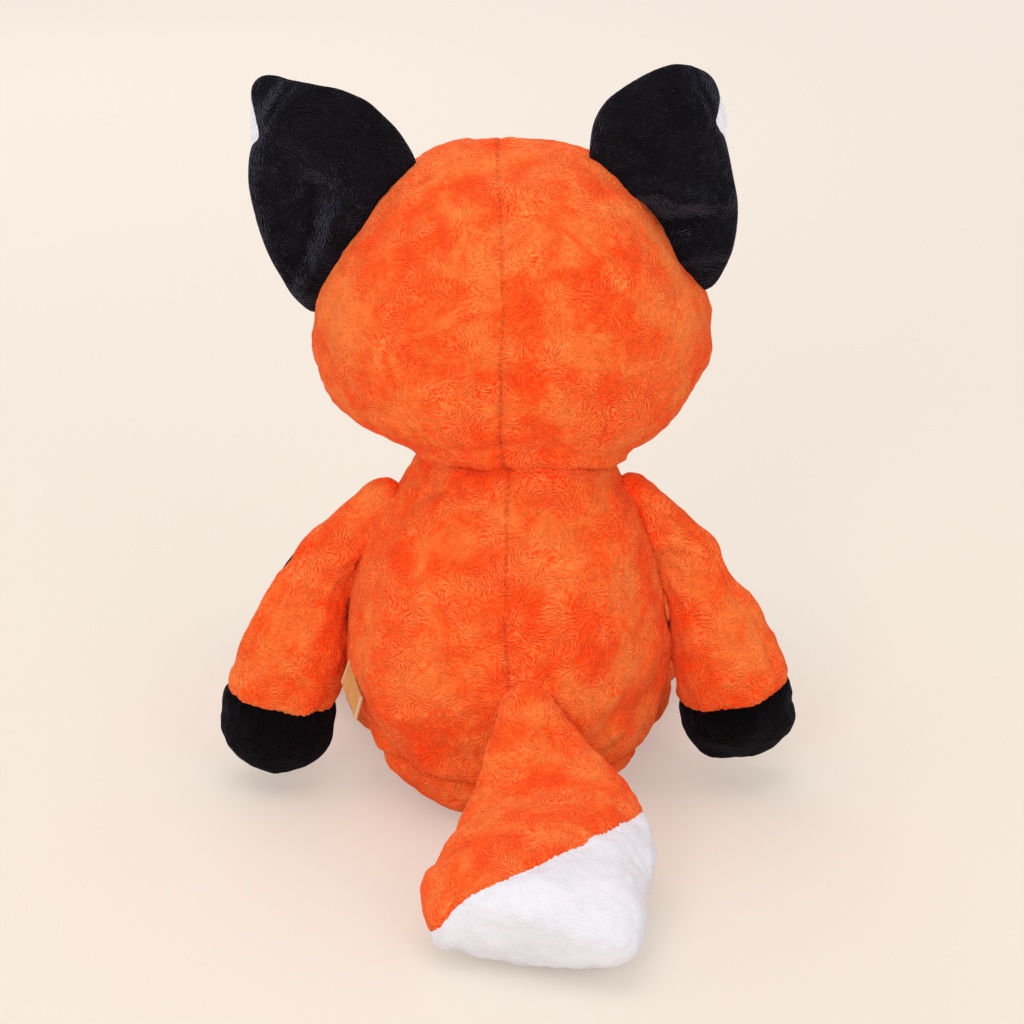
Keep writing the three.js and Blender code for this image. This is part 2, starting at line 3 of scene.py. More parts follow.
import bmesh
import bpy
import numpy as np
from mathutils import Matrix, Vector


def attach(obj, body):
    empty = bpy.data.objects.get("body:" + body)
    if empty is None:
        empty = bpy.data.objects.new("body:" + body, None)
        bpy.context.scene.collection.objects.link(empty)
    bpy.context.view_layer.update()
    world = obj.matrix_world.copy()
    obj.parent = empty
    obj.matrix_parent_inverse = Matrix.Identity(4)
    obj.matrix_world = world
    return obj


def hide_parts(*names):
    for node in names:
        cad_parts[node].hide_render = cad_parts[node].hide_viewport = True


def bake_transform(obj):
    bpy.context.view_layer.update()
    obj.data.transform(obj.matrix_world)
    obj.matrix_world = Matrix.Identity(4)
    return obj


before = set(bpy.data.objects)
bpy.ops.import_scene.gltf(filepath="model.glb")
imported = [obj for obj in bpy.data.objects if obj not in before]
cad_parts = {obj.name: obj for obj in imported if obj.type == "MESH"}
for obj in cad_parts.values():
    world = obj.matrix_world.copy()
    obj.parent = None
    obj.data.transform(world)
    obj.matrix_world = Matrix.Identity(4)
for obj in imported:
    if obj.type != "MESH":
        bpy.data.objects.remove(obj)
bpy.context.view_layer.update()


# Camera: level with the fox's head height, looking down a little on its back from about 1.3 m.
# The lens gives the photograph's narrow view.

lens = bpy.data.cameras.new("camera")
lens.sensor_width = 36
lens.lens = 99.35
camera = bpy.data.objects.new("camera", lens)
camera.location = (-0.0023, 1.2216, 0.5816)
camera.rotation_euler = (math.radians(70), 0, math.radians(180))
bpy.context.collection.objects.link(camera)
bpy.context.scene.camera = camera
bpy.context.scene.view_settings.view_transform = "Standard"


# Floor and light: a plain pale sheet of matt board in a white tent. A wide soft lamp hangs above, a
# key lamp stands at the camera's left, a weaker one at its right, and a faint one fills the fox's front.

tent_glow = "#f6ebe0"


def tone(code):
    """An sRGB hex colour as linear red, green, blue and a full alpha."""
    parts = [int(code[place:place + 2], 16) / 255 for place in (1, 3, 5)]
    return [part / 12.92 if part <= 0.04045 else ((part + 0.055) / 1.055) ** 2.4 for part in parts] + [1]


def node(tree, kind, feeds=None, **settings):
    """Adds a node. A feed is a constant for an input, or what is linked to it: a socket, or a node whose
    first output is meant."""
    made = tree.nodes.new("ShaderNode" + kind)
    for name, value in settings.items():
        setattr(made, name, value)
    for name, value in (feeds or {}).items():
        if isinstance(value, bpy.types.Node):
            value = value.outputs[0]
        if isinstance(value, bpy.types.NodeSocket):
            tree.links.new(value, made.inputs[name])
        else:
            made.inputs[name].default_value = value
    return made


def blank_material(name):
    material = bpy.data.materials.new(name)
    material.use_nodes = True
    material.node_tree.nodes.clear()
    return material, material.node_tree


def board_paint():
    """Matt painted board: no gloss, and a very faint unevenness of the colour. The tent's own glow on
    it is added where the camera sees it, which keeps the pale board even and its shadows soft."""
    material, tree = blank_material("matt board")
    place = node(tree, "TexCoord").outputs["Object"]
    cloud = node(tree, "TexNoise", {"Vector": place, "Scale": 3.0, "Detail": 2.0})
    paint = node(tree, "Mix", {0: cloud, 6: tone("#eae0d5"), 7: tone("#ece2d7")}, data_type="RGBA")
    shader = node(tree, "BsdfPrincipled", {
        "Base Color": paint.outputs[2], "Roughness": 0.9, "Specular IOR Level": 0.1,
    })
    glow = node(tree, "Emission", {0: tone(tent_glow), 1: 1.0})
    seen = node(tree, "LightPath").outputs["Is Camera Ray"]
    away = node(tree, "VectorMath", {0: place}, operation="LENGTH").outputs["Value"]
    part = node(tree, "MapRange", {0: away, 1: 0.5, 2: 2.8, 3: 0.4, 4: 1.0})
    part = node(tree, "Math", {0: seen, 1: part}, operation="MULTIPLY")
    board = node(tree, "MixShader", {0: part, 1: shader, 2: glow})
    node(tree, "OutputMaterial", {0: board})
    return material


def placed(name, made, *materials):
    """Makes a worked mesh an object of the scene."""
    mesh = bpy.data.meshes.new(name)
    made.to_mesh(mesh)
    made.free()
    for material in materials:
        mesh.materials.append(material)
    piece = bpy.data.objects.new(name, mesh)
    bpy.context.collection.objects.link(piece)
    return piece


board = bmesh.new()
bmesh.ops.create_grid(board, x_segments=1, y_segments=1, size=9)
floor = placed("floor", board, board_paint())

world = bpy.data.worlds.new("white tent")
bpy.context.scene.world = world
world.use_nodes = True
sky = world.node_tree
sky.nodes.clear()
path = node(sky, "LightPath").outputs
seen = node(sky, "Math", {0: path["Is Camera Ray"], 1: path["Is Glossy Ray"]}, operation="MAXIMUM")
seen = node(sky, "Math", {0: seen, 1: path["Is Transmission Ray"]}, operation="MAXIMUM")
tent = node(sky, "Background", {0: tone("#fffefc"), 1: 0.69})
backdrop = node(sky, "Background", {0: tone(tent_glow), 1: 1.0})
choice = node(sky, "MixShader", {0: seen, 1: tent, 2: backdrop})
node(sky, "OutputWorld", {0: choice})

for name, width, power, spot in [
    ("lamp above", 2.0, 18, (0.2, 0.2, 2.5)),
    ("key lamp at the camera's left", 0.5, 12, (0.68, 2.02, 1.0)),
    ("lamp at the camera's right", 0.8, 5.5, (-0.98, 1.84, 1.12)),
    ("lamp before the fox", 1.3, 9, (0.6, -1.9, 1.0)),
]:
    light = bpy.data.lights.new(name, "AREA")
    light.size = width
    light.energy = power
    light.color = tone("#fffcf8")[:3]
    lamp = bpy.data.objects.new(name, light)
    lamp.location = spot
    lamp.rotation_euler = (Vector((0, 0, 0.15)) - Vector(spot)).to_track_quat("-Z", "Y").to_euler()
    bpy.context.collection.objects.link(lamp)


# Torso: two orange back panels, a white belly and an orange seat, cut from short-pile plush, sewn
# inside out, turned and stuffed. The seams sink between the panels, and the fabric puckers along them.

mm = 0.001


def curve_through(values, shares, straight_ends):
    """A smooth run through evenly spaced values, read at shares of the way along it."""
    values = np.array(values, float).reshape(len(values), -1)
    first = 2 * values[0] - values[1] if straight_ends else values[0]
    last = 2 * values[-1] - values[-2] if straight_ends else values[-1]
    padded = np.vstack([first, values, last])
    place = np.clip(shares, 0, 1) * (len(values) - 1)
    index = np.minimum(place.astype(int), len(values) - 2)
    part = (place - index)[:, None]
    a, b, c, d = (padded[index + step] for step in range(4))
    bend = a - 2.5 * b + 2 * c - d / 2
    return b + part * (c - a) / 2 + part ** 2 * bend + part ** 3 * (3 * b - a - 3 * c + d) / 2


def spine_places(spine, shares):
    """Points and directions on a spine, read by its length."""
    dense = np.linspace(0, 1, 201)
    points = curve_through(spine, dense, True)
    steps = np.linalg.norm(np.diff(points, axis=0), axis=1)
    lengths = np.concatenate([[0], np.cumsum(steps)])
    spots = np.interp(np.clip(shares, 0, 1) * lengths[-1], lengths, dense)
    ahead, behind = np.minimum(spots + 1e-4, 1), np.maximum(spots - 1e-4, 0)
    run = curve_through(spine, ahead, True) - curve_through(spine, behind, True)
    return curve_through(spine, spots, True), run / np.linalg.norm(run, axis=1)[:, None], lengths[-1]


def rounding(shares, end, power):
    return (1 - (1 - np.clip(shares / end, 0, 1)) ** power) ** (1 / power)


def form_points(form, units):
    """Places on a stuffed form. The unit ball's +Y pole is the start of the form's spine."""
    if "drawn" in form:
        return form["drawn"](units)
    shares = np.clip((1 - units[:, 1]) / 2, 0, 1)
    ring = np.hypot(units[:, 0], units[:, 2])
    open_ring = ring > 1e-6
    across = np.where(open_ring, units[:, 0] / np.maximum(ring, 1e-6), 0)
    upward = np.where(open_ring, units[:, 2] / np.maximum(ring, 1e-6), 0)
    around = rounding(shares, form["start"], form.get("start_power", 2))
    around = around * rounding(1 - shares, form["end"], form.get("end_power", 2)) * open_ring
    centres, run, _ = spine_places(form["spine"], shares)
    depth_side = np.array(form["depth_side"], float)
    depth_side = depth_side - run * (run @ depth_side)[:, None]
    depth_side /= np.linalg.norm(depth_side, axis=1)[:, None]
    width_side = np.cross(depth_side, run)
    half_width = form["width"] / 2 * curve_through(form["widths"], shares, False)[:, 0] * around
    half_depth = form["depth"] / 2 * curve_through(form["depths"], shares, False)[:, 0] * around
    return centres + width_side * (across * half_width)[:, None] + depth_side * (upward * half_depth)[:, None]


def form_normals(form, units):
    """Outward directions, from small steps over the unit ball."""
    other = np.where(np.abs(units[:, 2:3]) < 0.8, [[0.0, 0, 1]], [[1.0, 0, 0]])
    one = np.cross(units, other)
    one /= np.linalg.norm(one, axis=1)[:, None]
    two = np.cross(units, one)
    step = 0.004
    shrink = math.hypot(1, step)
    sides = [form_points(form, (units + step * side) / shrink) for side in (one, -one, two, -two)]
    normals = np.cross(sides[0] - sides[1], sides[2] - sides[3])
    return normals / np.maximum(np.linalg.norm(normals, axis=1), 1e-9)[:, None]


def on_form(form, share, degrees):
    """The place on a form a share of the way along it, at an angle round it."""
    height = 1 - 2 * np.atleast_1d(np.array(share, float))
    ring = np.sqrt(np.maximum(0, 1 - height ** 2))
    turn = np.radians(np.atleast_1d(np.array(degrees, float)))
    return form_points(form, np.stack([ring * np.cos(turn), height, ring * np.sin(turn)], 1))


def smooth_rise(values, low, high):
    part = np.clip((values - low) / (high - low), 0, 1)
    return part * part * (3 - 2 * part)


def ripples(places, wave, seed, count=22):
    """Soft unevenness of about unit height, with waves of about the given length."""
    draw = np.random.default_rng(seed)
    ways = draw.normal(size=(count, 3))
    ways /= np.linalg.norm(ways, axis=1)[:, None]
    ways *= (2 * math.pi / (wave * draw.uniform(0.75, 1.5, size=count)))[:, None]
    return np.sin(places @ ways.T + draw.uniform(0, 2 * math.pi, size=count)).sum(1) * math.sqrt(2 / count)


def line_on(form, stops, count=40):
    """A smooth line over a form through stops of (share, degrees)."""
    stops = curve_through(stops, np.linspace(0, 1, count), True)
    return on_form(form, stops[:, 0], stops[:, 1])


def line_distance(places, line):
    """How far each place is from a line, and how far along the line its nearest point is."""
    nearest = np.full(len(places), 1e9)
    along = np.zeros(len(places))
    walked = 0.0
    for start, end in zip(line[:-1], line[1:]):
        step = end - start
        length = np.linalg.norm(step)
        part = np.clip((places - start) @ step / length ** 2, 0, 1)
        gap = np.linalg.norm(places - start - part[:, None] * step, axis=1)
        closer = gap < nearest
        nearest = np.where(closer, gap, nearest)
        along = np.where(closer, walked + part * length, along)
        walked += length
    return nearest, along, walked


def crease(places, line, width, depth):
    """A soft fold: a furrow with a low ridge on each side, fading out at both ends."""
    gap, along, length = line_distance(places, line)
    fade = np.sin(math.pi * np.clip(along / length, 0, 1)) ** 0.6
    ridge = np.exp(-((gap - 2.1 * width) / width) ** 2)
    return fade * depth * (0.35 * ridge - np.exp(-(gap / width) ** 1.6))


def along_fabric(distance, normals, way):
    """The distance from a seam's plane, measured along the fabric instead of straight across."""
    return distance / np.sqrt(np.maximum(0.04, 1 - (normals @ np.array(way, float)) ** 2))


def nudged(places, bare, nudges):
    """Small listed corrections: each one moves the fabric about a spot and fades out with distance."""
    for spot, move, reach in nudges:
        near = np.exp(-(np.linalg.norm(bare - np.array(spot, float), axis=1) / reach) ** 2)
        places = places + near[:, None] * np.array(move, float)
    return places


def filled_cloth(form, held):
    """Lets a coarse copy of a form swell as a filled bag of slightly slack cloth whose seams are held.
    Gives the copy's places on the unit ball, and how far each of them moved beside the broad swelling
    round it, which the form already has."""
    slack = 0.05
    most = 4.5
    made = bmesh.new()
    bmesh.ops.create_icosphere(made, subdivisions=5, radius=1)
    units = np.array([corner.co for corner in made.verts])
    units /= np.linalg.norm(units, axis=1)[:, None]
    bare = form_points(form, units)
    hold = held(bare)
    normals = form_normals(form, units)
    start = bare - normals * (1.5 * (1 - hold))[:, None]
    for corner, place in zip(made.verts, start * mm):
        corner.co = place
    bag = placed("bag", made)
    group = bag.vertex_groups.new(name="held")
    for number in np.nonzero(hold > 0.02)[0]:
        group.add([int(number)], float(hold[number]), "REPLACE")
    cloth = bag.modifiers.new("cloth", "CLOTH")
    cloth.collision_settings.use_collision = False
    fabric = cloth.settings
    fabric.quality = 6
    fabric.use_pressure = True
    fabric.uniform_pressure_force = 4
    fabric.vertex_group_mass = "held"
    fabric.shrink_min = -slack
    fabric.effector_weights.gravity = 0
    for moment in range(1, 21):
        bpy.context.scene.frame_set(moment)
    swollen = bag.evaluated_get(bpy.context.evaluated_depsgraph_get()).to_mesh()
    ended = np.empty(len(bare) * 3)
    swollen.vertices.foreach_get("co", ended)
    bpy.data.objects.remove(bag)
    bpy.context.scene.frame_set(1)
    moves = ended.reshape(-1, 3) / mm - bare
    round_it = np.exp((units @ units.T - 1) * 9)
    moves -= round_it @ moves / round_it.sum(1)[:, None]
    moves *= (1 - hold)[:, None]
    sizes = np.linalg.norm(moves, axis=1)
    return units, moves * np.minimum(1, most / np.maximum(sizes, 1e-6))[:, None]


def swelling(bag, units):
    """Carries the bag's moves to a finer mesh, by nearness on the unit ball."""
    if bag is None:
        return np.zeros((len(units), 3))
    bag_units, moves = bag
    tight = len(bag_units) / 8
    carried = np.empty((len(units), 3))
    for first in range(0, len(units), 4000):
        share = np.exp((units[first:first + 4000] @ bag_units.T - 1) * tight)
        carried[first:first + 4000] = share @ moves / share.sum(1)[:, None]
    return carried


def seam_dip(gap, run, seed, depth, width, pucker):
    """How far a seam draws the fabric in beside it, with small puckers across it."""
    draw = np.random.default_rng(seed)
    pulses = np.zeros(len(gap))
    for spot in np.cumsum(draw.uniform(6, 15, size=80)):
        lean = draw.uniform(-0.35, 0.35)
        size = draw.uniform(0.3, 1.0)
        pulses += size * np.exp(-((run - spot + 250 - lean * gap) / (2.4 + 0.15 * np.abs(gap))) ** 2)
    gap = np.abs(gap)
    swell = 0.45 * np.exp(-((gap - 7.5) / 4) ** 2)
    return -depth * np.exp(-(gap / width) ** 1.15) - pucker * pulses * np.exp(-gap / 11) + swell


def sewn(seams, gap):
    """How far seams draw the fabric in, and how far each place is from its nearest seam and along it."""
    dip, run = 0, np.zeros(len(gap))
    for distance, along, seed, strength, depth, width, pucker in seams:
        dip = dip + strength * seam_dip(distance, along, seed, depth, width, pucker)
        away = np.abs(distance) + 60 * (1 - strength)
        gap, run = np.where(away < gap, away, gap), np.where(away < gap, along, run)
    return dip, gap, run


def stuffed(form, units, waves, folds=()):
    """Places on a form with the outward directions, and how far its filling and folds raise it."""
    bare = form_points(form, units)
    rise = sum(height * ripples(bare, *wave) for height, *wave in waves)
    for line, width, depth in folds:
        rise = rise + crease(bare, line, width, depth)
    return bare, form_normals(form, units), rise


def ring_run(places, centre, normal, radius):
    """Distance along a seam that lies in a plane, from the angle round its centre."""
    first = np.cross(normal, [0.36, 0.48, 0.8])
    first /= np.linalg.norm(first)
    second = np.cross(normal, first)
    return np.arctan2((places - centre) @ second, (places - centre) @ first) * radius


def drawn_ball(form, steps, flat=False):
    """The whole form as a fine mesh. Each corner keeps its place on the unit ball."""
    made = bmesh.new()
    bmesh.ops.create_icosphere(made, subdivisions=steps, radius=1)
    keep = made.verts.layers.float_vector.new("unit")
    units = np.array([corner.co for corner in made.verts])
    units /= np.linalg.norm(units, axis=1)[:, None]
    places = units if flat else form_points(form, units)
    for corner, unit, place in zip(made.verts, units, places):
        corner[keep] = unit
        corner.co = place
    return made


def cut_panel(whole, cuts):
    """One panel of a form: what is left inside the cutting planes, closed, and finer by its edges. The
    faces that close it are marked by a material index, which finish_panel takes off again."""
    fine_border = 5
    made = whole.copy()
    for point, normal in cuts:
        bmesh.ops.bisect_plane(made, geom=made.verts[:] + made.edges[:] + made.faces[:], dist=1e-5,
                               plane_co=Vector(point), plane_no=Vector(normal), clear_outer=True)
        rim = [edge for edge in made.edges if edge.is_boundary]
        for face in bmesh.ops.holes_fill(made, edges=rim, sides=0)["faces"]:
            face.material_index = 1
    near = set()
    for corner in made.verts:
        if any(abs((corner.co - Vector(point)).dot(Vector(normal))) < fine_border for point, normal in cuts):
            near.add(corner)
    fine = [edge for edge in made.edges if edge.verts[0] in near and edge.verts[1] in near
            and any(face.material_index == 0 for face in edge.link_faces)]
    bmesh.ops.subdivide_edges(made, edges=fine, cuts=1, use_grid_fill=True)
    for face in made.faces:
        face.smooth = face.material_index == 0
    for edge in made.edges:
        edge.smooth = len({face.material_index for face in edge.link_faces}) == 1
    return made


def face_outwards(made):
    """Turns a closed mesh that came out inside out."""
    if made.calc_volume(signed=True) < 0:
        bmesh.ops.reverse_faces(made, faces=made.faces[:])


def finish_panel(name, made, surface, fabric, bulge=-3):
    """Moves a panel's corners to the sewn and stuffed surface, closes its cut sides, which lie inside
    the toy, with their middles pushed out or in by the bulge, and makes its object."""
    keep = made.verts.layers.float_vector["unit"]
    units = np.array([corner[keep] for corner in made.verts])
    units /= np.maximum(np.linalg.norm(units, axis=1), 1e-9)[:, None]
    seam_gap = made.verts.layers.float.new("seam_gap")
    seam_run = made.verts.layers.float.new("seam_run")
    middle = sum((corner.co for corner in made.verts), Vector()) / len(made.verts)
    for corner, place, gap, run in zip(made.verts, *surface(units)):
        if any(face.material_index == 0 for face in corner.link_faces):
            corner.co = place
        else:
            corner.co += (middle - corner.co).normalized() * 20
        corner.co *= mm
        corner[seam_gap] = gap
        corner[seam_run] = run
    cut_sides = [face for face in made.faces if face.material_index == 1]
    bmesh.ops.recalc_face_normals(made, faces=made.faces[:])
    if cut_sides:
        bmesh.ops.poke(made, faces=cut_sides, offset=bulge * mm, center_mode="BOUNDS")
    for face in made.faces:
        face.material_index = 0
    made.verts.layers.float_vector.remove(made.verts.layers.float_vector["unit"])
    face_outwards(made)
    piece = placed(name, made, fabric)
    return piece


def pile_fabric(name, deep, middle, light, crest_highlight, seam_shade_colour, crest_share, sheen, sheen_tint, relief):
    """Short brushed polyester pile, 3 mm long. The tips lie in curled strokes about 1.5 mm apart, whose
    crests are painted lighter than the roots between them as a painted highlight, and hand marks brush
    whole patches lighter. The grooves beside the seams and the stitch holes are painted darker as painted
    shade."""
    material, tree = blank_material(name)
    half = (0.5, 0.5, 0.5)
    place = node(tree, "TexCoord").outputs["Object"]
    place = node(tree, "VectorMath", {0: place, "Scale": 1 / mm}, operation="SCALE")
    drift = node(tree, "TexNoise", {"Vector": place, "Scale": 1 / 7, "Detail": 1.0})
    drift = node(tree, "VectorMath", {0: drift.outputs["Color"], 1: half}, operation="SUBTRACT")
    bent = node(tree, "VectorMath", {0: drift, 1: (4, 4, 4), 2: place}, operation="MULTIPLY_ADD")
    lay = node(tree, "TexNoise", {"Vector": bent, "Scale": 1 / 13, "Detail": 0.5})
    lay = node(tree, "VectorMath", {0: lay.outputs["Color"], 1: half}, operation="SUBTRACT")
    strokes = node(tree, "TexGabor", {
        "Vector": bent, "Scale": 0.58, "Frequency": 1.25, "Anisotropy": 0.78, "Orientation": lay,
    }, gabor_type="3D").outputs["Value"]
    strokes = node(tree, "MapRange", {0: strokes, 1: 0.33, 2: 0.67})
    fine = node(tree, "TexNoise", {"Vector": bent, "Scale": 1.1, "Detail": 2.0})
    patches = node(tree, "TexNoise", {
        "Vector": place, "Scale": 1 / 28, "Detail": 5.0, "Roughness": 0.68, "Distortion": 0.4,
    })
    brushed = node(tree, "ValToRGB", {0: patches})
    ramp = brushed.color_ramp.elements
    ramp[0].position, ramp[0].color = 0.40, tone(deep)
    ramp[1].position, ramp[1].color = 0.61, tone(light)
    ramp.new(0.5).color = tone(middle)
    # Painted highlight: the crests of the strokes are mixed toward the lighter crest colour, more in some
    # patches than in others.
    crest_highlight_spread = node(tree, "TexNoise", {"Vector": place, "Scale": 1 / 16, "Detail": 1.0})
    crest_highlight_spread = node(tree, "MapRange", {
        0: crest_highlight_spread, 1: 0.38, 2: 0.62, 3: 0.35 * crest_share, 4: 1.15 * crest_share,
    })
    lit = node(tree, "Math", {0: strokes, 1: crest_highlight_spread}, operation="MULTIPLY")
    base = node(tree, "Mix", {0: lit, 6: brushed, 7: tone(crest_highlight)}, data_type="RGBA")
    gap = node(tree, "Attribute", attribute_name="seam_gap").outputs["Fac"]
    run = node(tree, "Attribute", attribute_name="seam_run").outputs["Fac"]
    # Painted shade: the fabric is mixed toward the darker seam colour in the groove beside each seam.
    painted_seam_shade = node(tree, "MapRange", {0: gap, 1: 1.4, 2: 0.1, 3: 0.0, 4: 0.28})
    base = node(tree, "Mix", {0: painted_seam_shade, 6: base.outputs[2], 7: tone(seam_shade_colour)}, data_type="RGBA")
    # Stitch holes along each seam are dented by the bump and also painted darker as painted shade, more at
    # some holes than at others.
    stitch = node(tree, "Math", {0: run, 1: 2 * math.pi / 3.5}, operation="MULTIPLY")
    stitch = node(tree, "Math", {0: stitch}, operation="SINE")
    stitch = node(tree, "MapRange", {0: stitch, 1: 0.1, 2: 0.9})
    close = node(tree, "MapRange", {0: gap, 1: 0.9, 2: 0.3})
    stitch_hole_and_shade = node(tree, "Math", {0: stitch, 1: close}, operation="MULTIPLY")
    stitch_strength = node(tree, "TexNoise", {"Vector": place, "Scale": 1 / 9, "Detail": 1.0})
    stitch_strength = node(tree, "MapRange", {0: stitch_strength, 1: 0.38, 2: 0.62, 3: 0.03, 4: 0.28})
    stitch_hole_and_shade = node(tree, "Math", {0: stitch_hole_and_shade, 1: stitch_strength}, operation="MULTIPLY")
    base = node(tree, "Mix", {0: stitch_hole_and_shade, 6: base.outputs[2], 7: tone(seam_shade_colour)}, data_type="RGBA")
    height = node(tree, "Math", {0: fine, 1: 0.5, 2: strokes}, operation="MULTIPLY_ADD")
    height = node(tree, "Math", {0: stitch_hole_and_shade, 1: -1.0, 2: height}, operation="MULTIPLY_ADD")
    beside = node(tree, "MapRange", {0: gap, 1: 4.0, 2: 0.5, 3: 0.0, 4: 0.9})
    height = node(tree, "Math", {0: stitch, 1: beside, 2: height}, operation="MULTIPLY_ADD")
    nap = node(tree, "Bump", {"Strength": 1.0, "Distance": relief * mm, "Height": height})
    shader = node(tree, "BsdfPrincipled", {
        "Base Color": base.outputs[2], "Roughness": 0.95, "Specular IOR Level": 0.05, "Normal": nap,
        "Sheen Weight": sheen, "Sheen Roughness": 0.45, "Sheen Tint": tone(sheen_tint),
    })
    node(tree, "OutputMaterial", {0: shader})
    return material


# Each pile's colours: deep, middle and light tones of the fabric, then the painted highlight on the stroke
# crests, then the painted shade in the seams.
orange_pile = pile_fabric("orange minky pile", "#fb3b08", "#fb4c13", "#fc6e2f", "#ff9450", "#bb3a10",
                          0.62, 0.36, "#ff9c66", 0.5)
white_pile = pile_fabric("white minky pile", "#dddde6", "#e1e1ea", "#e4e4ed", "#e9e9f1", "#c0bcc8",
                         0.4, 0.12, "#ffffff", 0.14)
black_pile = pile_fabric("black minky pile", "#030203", "#040304", "#060506", "#0d0b0d", "#020202",
                         0.5, 0.1, "#8c8ca2", 0.4)

body_length = 196.5
body_form = {
    "spine": [(0, 0, -0.5), (0, 0, 98), (-3, 0, body_length - 0.5)], "depth_side": (0, 1, 0),
    "width": 150, "depth": 134,
    "widths": [0.68, 0.85, 0.96, 1, 0.97, 0.89, 0.75, 0.6, 0.5],
    "depths": [0.76, 0.86, 0.95, 1, 0.985, 0.91, 0.79, 0.7, 0.56],
    "start": 0.17, "start_power": 3.6, "end": 0.17,
}
neck_tilt = math.radians(16)
neck_point = np.array([-3.0, 0, 163])
neck_normal = np.array([0, -math.sin(neck_tilt), math.cos(neck_tilt)])
neck_radius = 44
seat_seam = 23
belly_seam = -48.2
body_folds = [
    (line_on(body_form, [(0.765, 86), (0.772, 70), (0.758, 52)]), 2.6, 1.5),
    (line_on(body_form, [(0.735, 86), (0.722, 68), (0.73, 50)]), 2.6, 1.0),
    (line_on(body_form, [(0.74, 92), (0.75, 108), (0.735, 122)]), 2.6, 0.9),
    (line_on(body_form, [(0.83, 60), (0.80, 40), (0.74, 24)]), 3.5, 1.4),
    (line_on(body_form, [(0.83, 122), (0.79, 145), (0.72, 160)]), 3.5, 1.4),
    (line_on(body_form, [(0.20, 50), (0.235, 56), (0.29, 58)]), 2.4, 0.8),
    (line_on(body_form, [(0.17, 72), (0.20, 74), (0.25, 72)]), 2.4, 0.8),
]


def torso_held(bare):
    """The body's cloth is held along its seams, at the neck and where it sits on the floor."""
    x, y, z = bare.T
    over_neck = (bare - neck_point) @ neck_normal
    away = [np.abs(z - seat_seam), np.abs(y - belly_seam), z, np.abs(over_neck), np.abs(x) + 40 * (y < 0)]
    return np.where(over_neck > 0, 1, np.exp(-(np.min(away, axis=0) / 4) ** 2))


body_bag = filled_cloth(body_form, torso_held)
body_nudges = [
    ((-65, 27, 50), (3.2, 0, 0), 18), ((68, 20, 50), (-3, 0, 0), 18), ((50, 37, 21), (-3.2, -3, 1), 16),
]


def torso_surface(units):
    """The stuffed body, with its centre back, belly and seat seams, its folds and its neck."""
    waves = [(1.1, 62, 3), (0.45, 21, 4), (0.15, 6, 5, 40)]
    bare, normals, rise = stuffed(body_form, units, waves, body_folds)
    x, y, z = bare.T
    above_seat = smooth_rise(z, seat_seam - 1, seat_seam + 7)
    behind_belly = smooth_rise(y, belly_seam - 1, belly_seam + 7)
    seat_gap = along_fabric(z - seat_seam, normals, (0, 0, 1))
    dip, gap, run = sewn([
        (x, z * 1.08, 21, above_seat * behind_belly, 1.1, 1.9, 0.55),
        (along_fabric(y - belly_seam, normals, (0, 1, 0)), z * 1.1, 22, above_seat, 1.6, 2.4, 0.55),
        (seat_gap, ring_run(bare, (0, 0, seat_seam), (0, 0, 1), 60), 23, 1, 2.6, 2.4, 0.55),
    ], np.full(len(x), 50.0))
    rise += dip
    under = (bare - neck_point) @ neck_normal
    rise -= 2.6 * np.exp(-(np.minimum(0, under) / 4) ** 2)
    places = bare + normals * rise[:, None] + swelling(body_bag, units)
    centre = neck_point + neck_normal * under[:, None]
    reach = np.linalg.norm(places - centre, axis=1)
    tuck = np.minimum(reach, neck_radius) / np.maximum(reach, 1) - 1
    places += (places - centre) * (tuck * smooth_rise(under, -9, 0) * smooth_rise(-y, 0, 25))[:, None]
    wander = 0.7 * np.sin(z / 17 + 1) + 0.4 * np.sin(z / 7.3)
    seam_line = np.exp(-(x / 16) ** 2) * smooth_rise(y, 0, 20)
    places[:, 0] += wander * seam_line * above_seat
    places[:, 0] -= 4 * smooth_rise(z, 110, 163) * (1 - 1.1 * seam_line)
    places = nudged(places, bare, body_nudges)
    floor_share = smooth_rise(z, 5, 0)
    places[:, 2] = np.maximum(places[:, 2], 0.1)
    places[:, 2] = places[:, 2] * (1 - floor_share) + np.maximum(bare[:, 2], 0.1) * floor_share
    return places, gap, run


body_ball = drawn_ball(body_form, 7)
behind = ((0, belly_seam, 0), (0, -1, 0))
below_neck = (neck_point + 7 * neck_normal, neck_normal)
upper = ((0, 0, seat_seam), (0, 0, -1))
above_floor = ((0, 0, 0.1), (0, 0, -1))
for name, cuts, fabric, slot in [
    ("back_panel_left", [((0, 0, 0), (-1, 0, 0)), behind, upper, below_neck], orange_pile, "orange_pile"),
    ("back_panel_right", [((0, 0, 0), (1, 0, 0)), behind, upper, below_neck], orange_pile, "orange_pile"),
    ("belly_panel", [((0, belly_seam, 0), (0, 1, 0)), upper, below_neck], white_pile, "white_pile"),
    ("seat_panel", [((0, 0, seat_seam), (0, 0, 1)), above_floor], orange_pile, "orange_pile"),
]:
    panel = finish_panel("plush_" + name, cut_panel(body_ball, cuts), torso_surface, fabric,
                         bulge=14 if name == "belly_panel" else -3)
    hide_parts(name)
    if name == "seat_panel":
        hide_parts("body_filling", "pellet_bag")
    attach(panel, "torso")
body_ball.free()


# Head: two orange panels sewn down the middle, and two white cheeks below them, over firm filling. It
# sits on the neck and hangs a little over it all round.

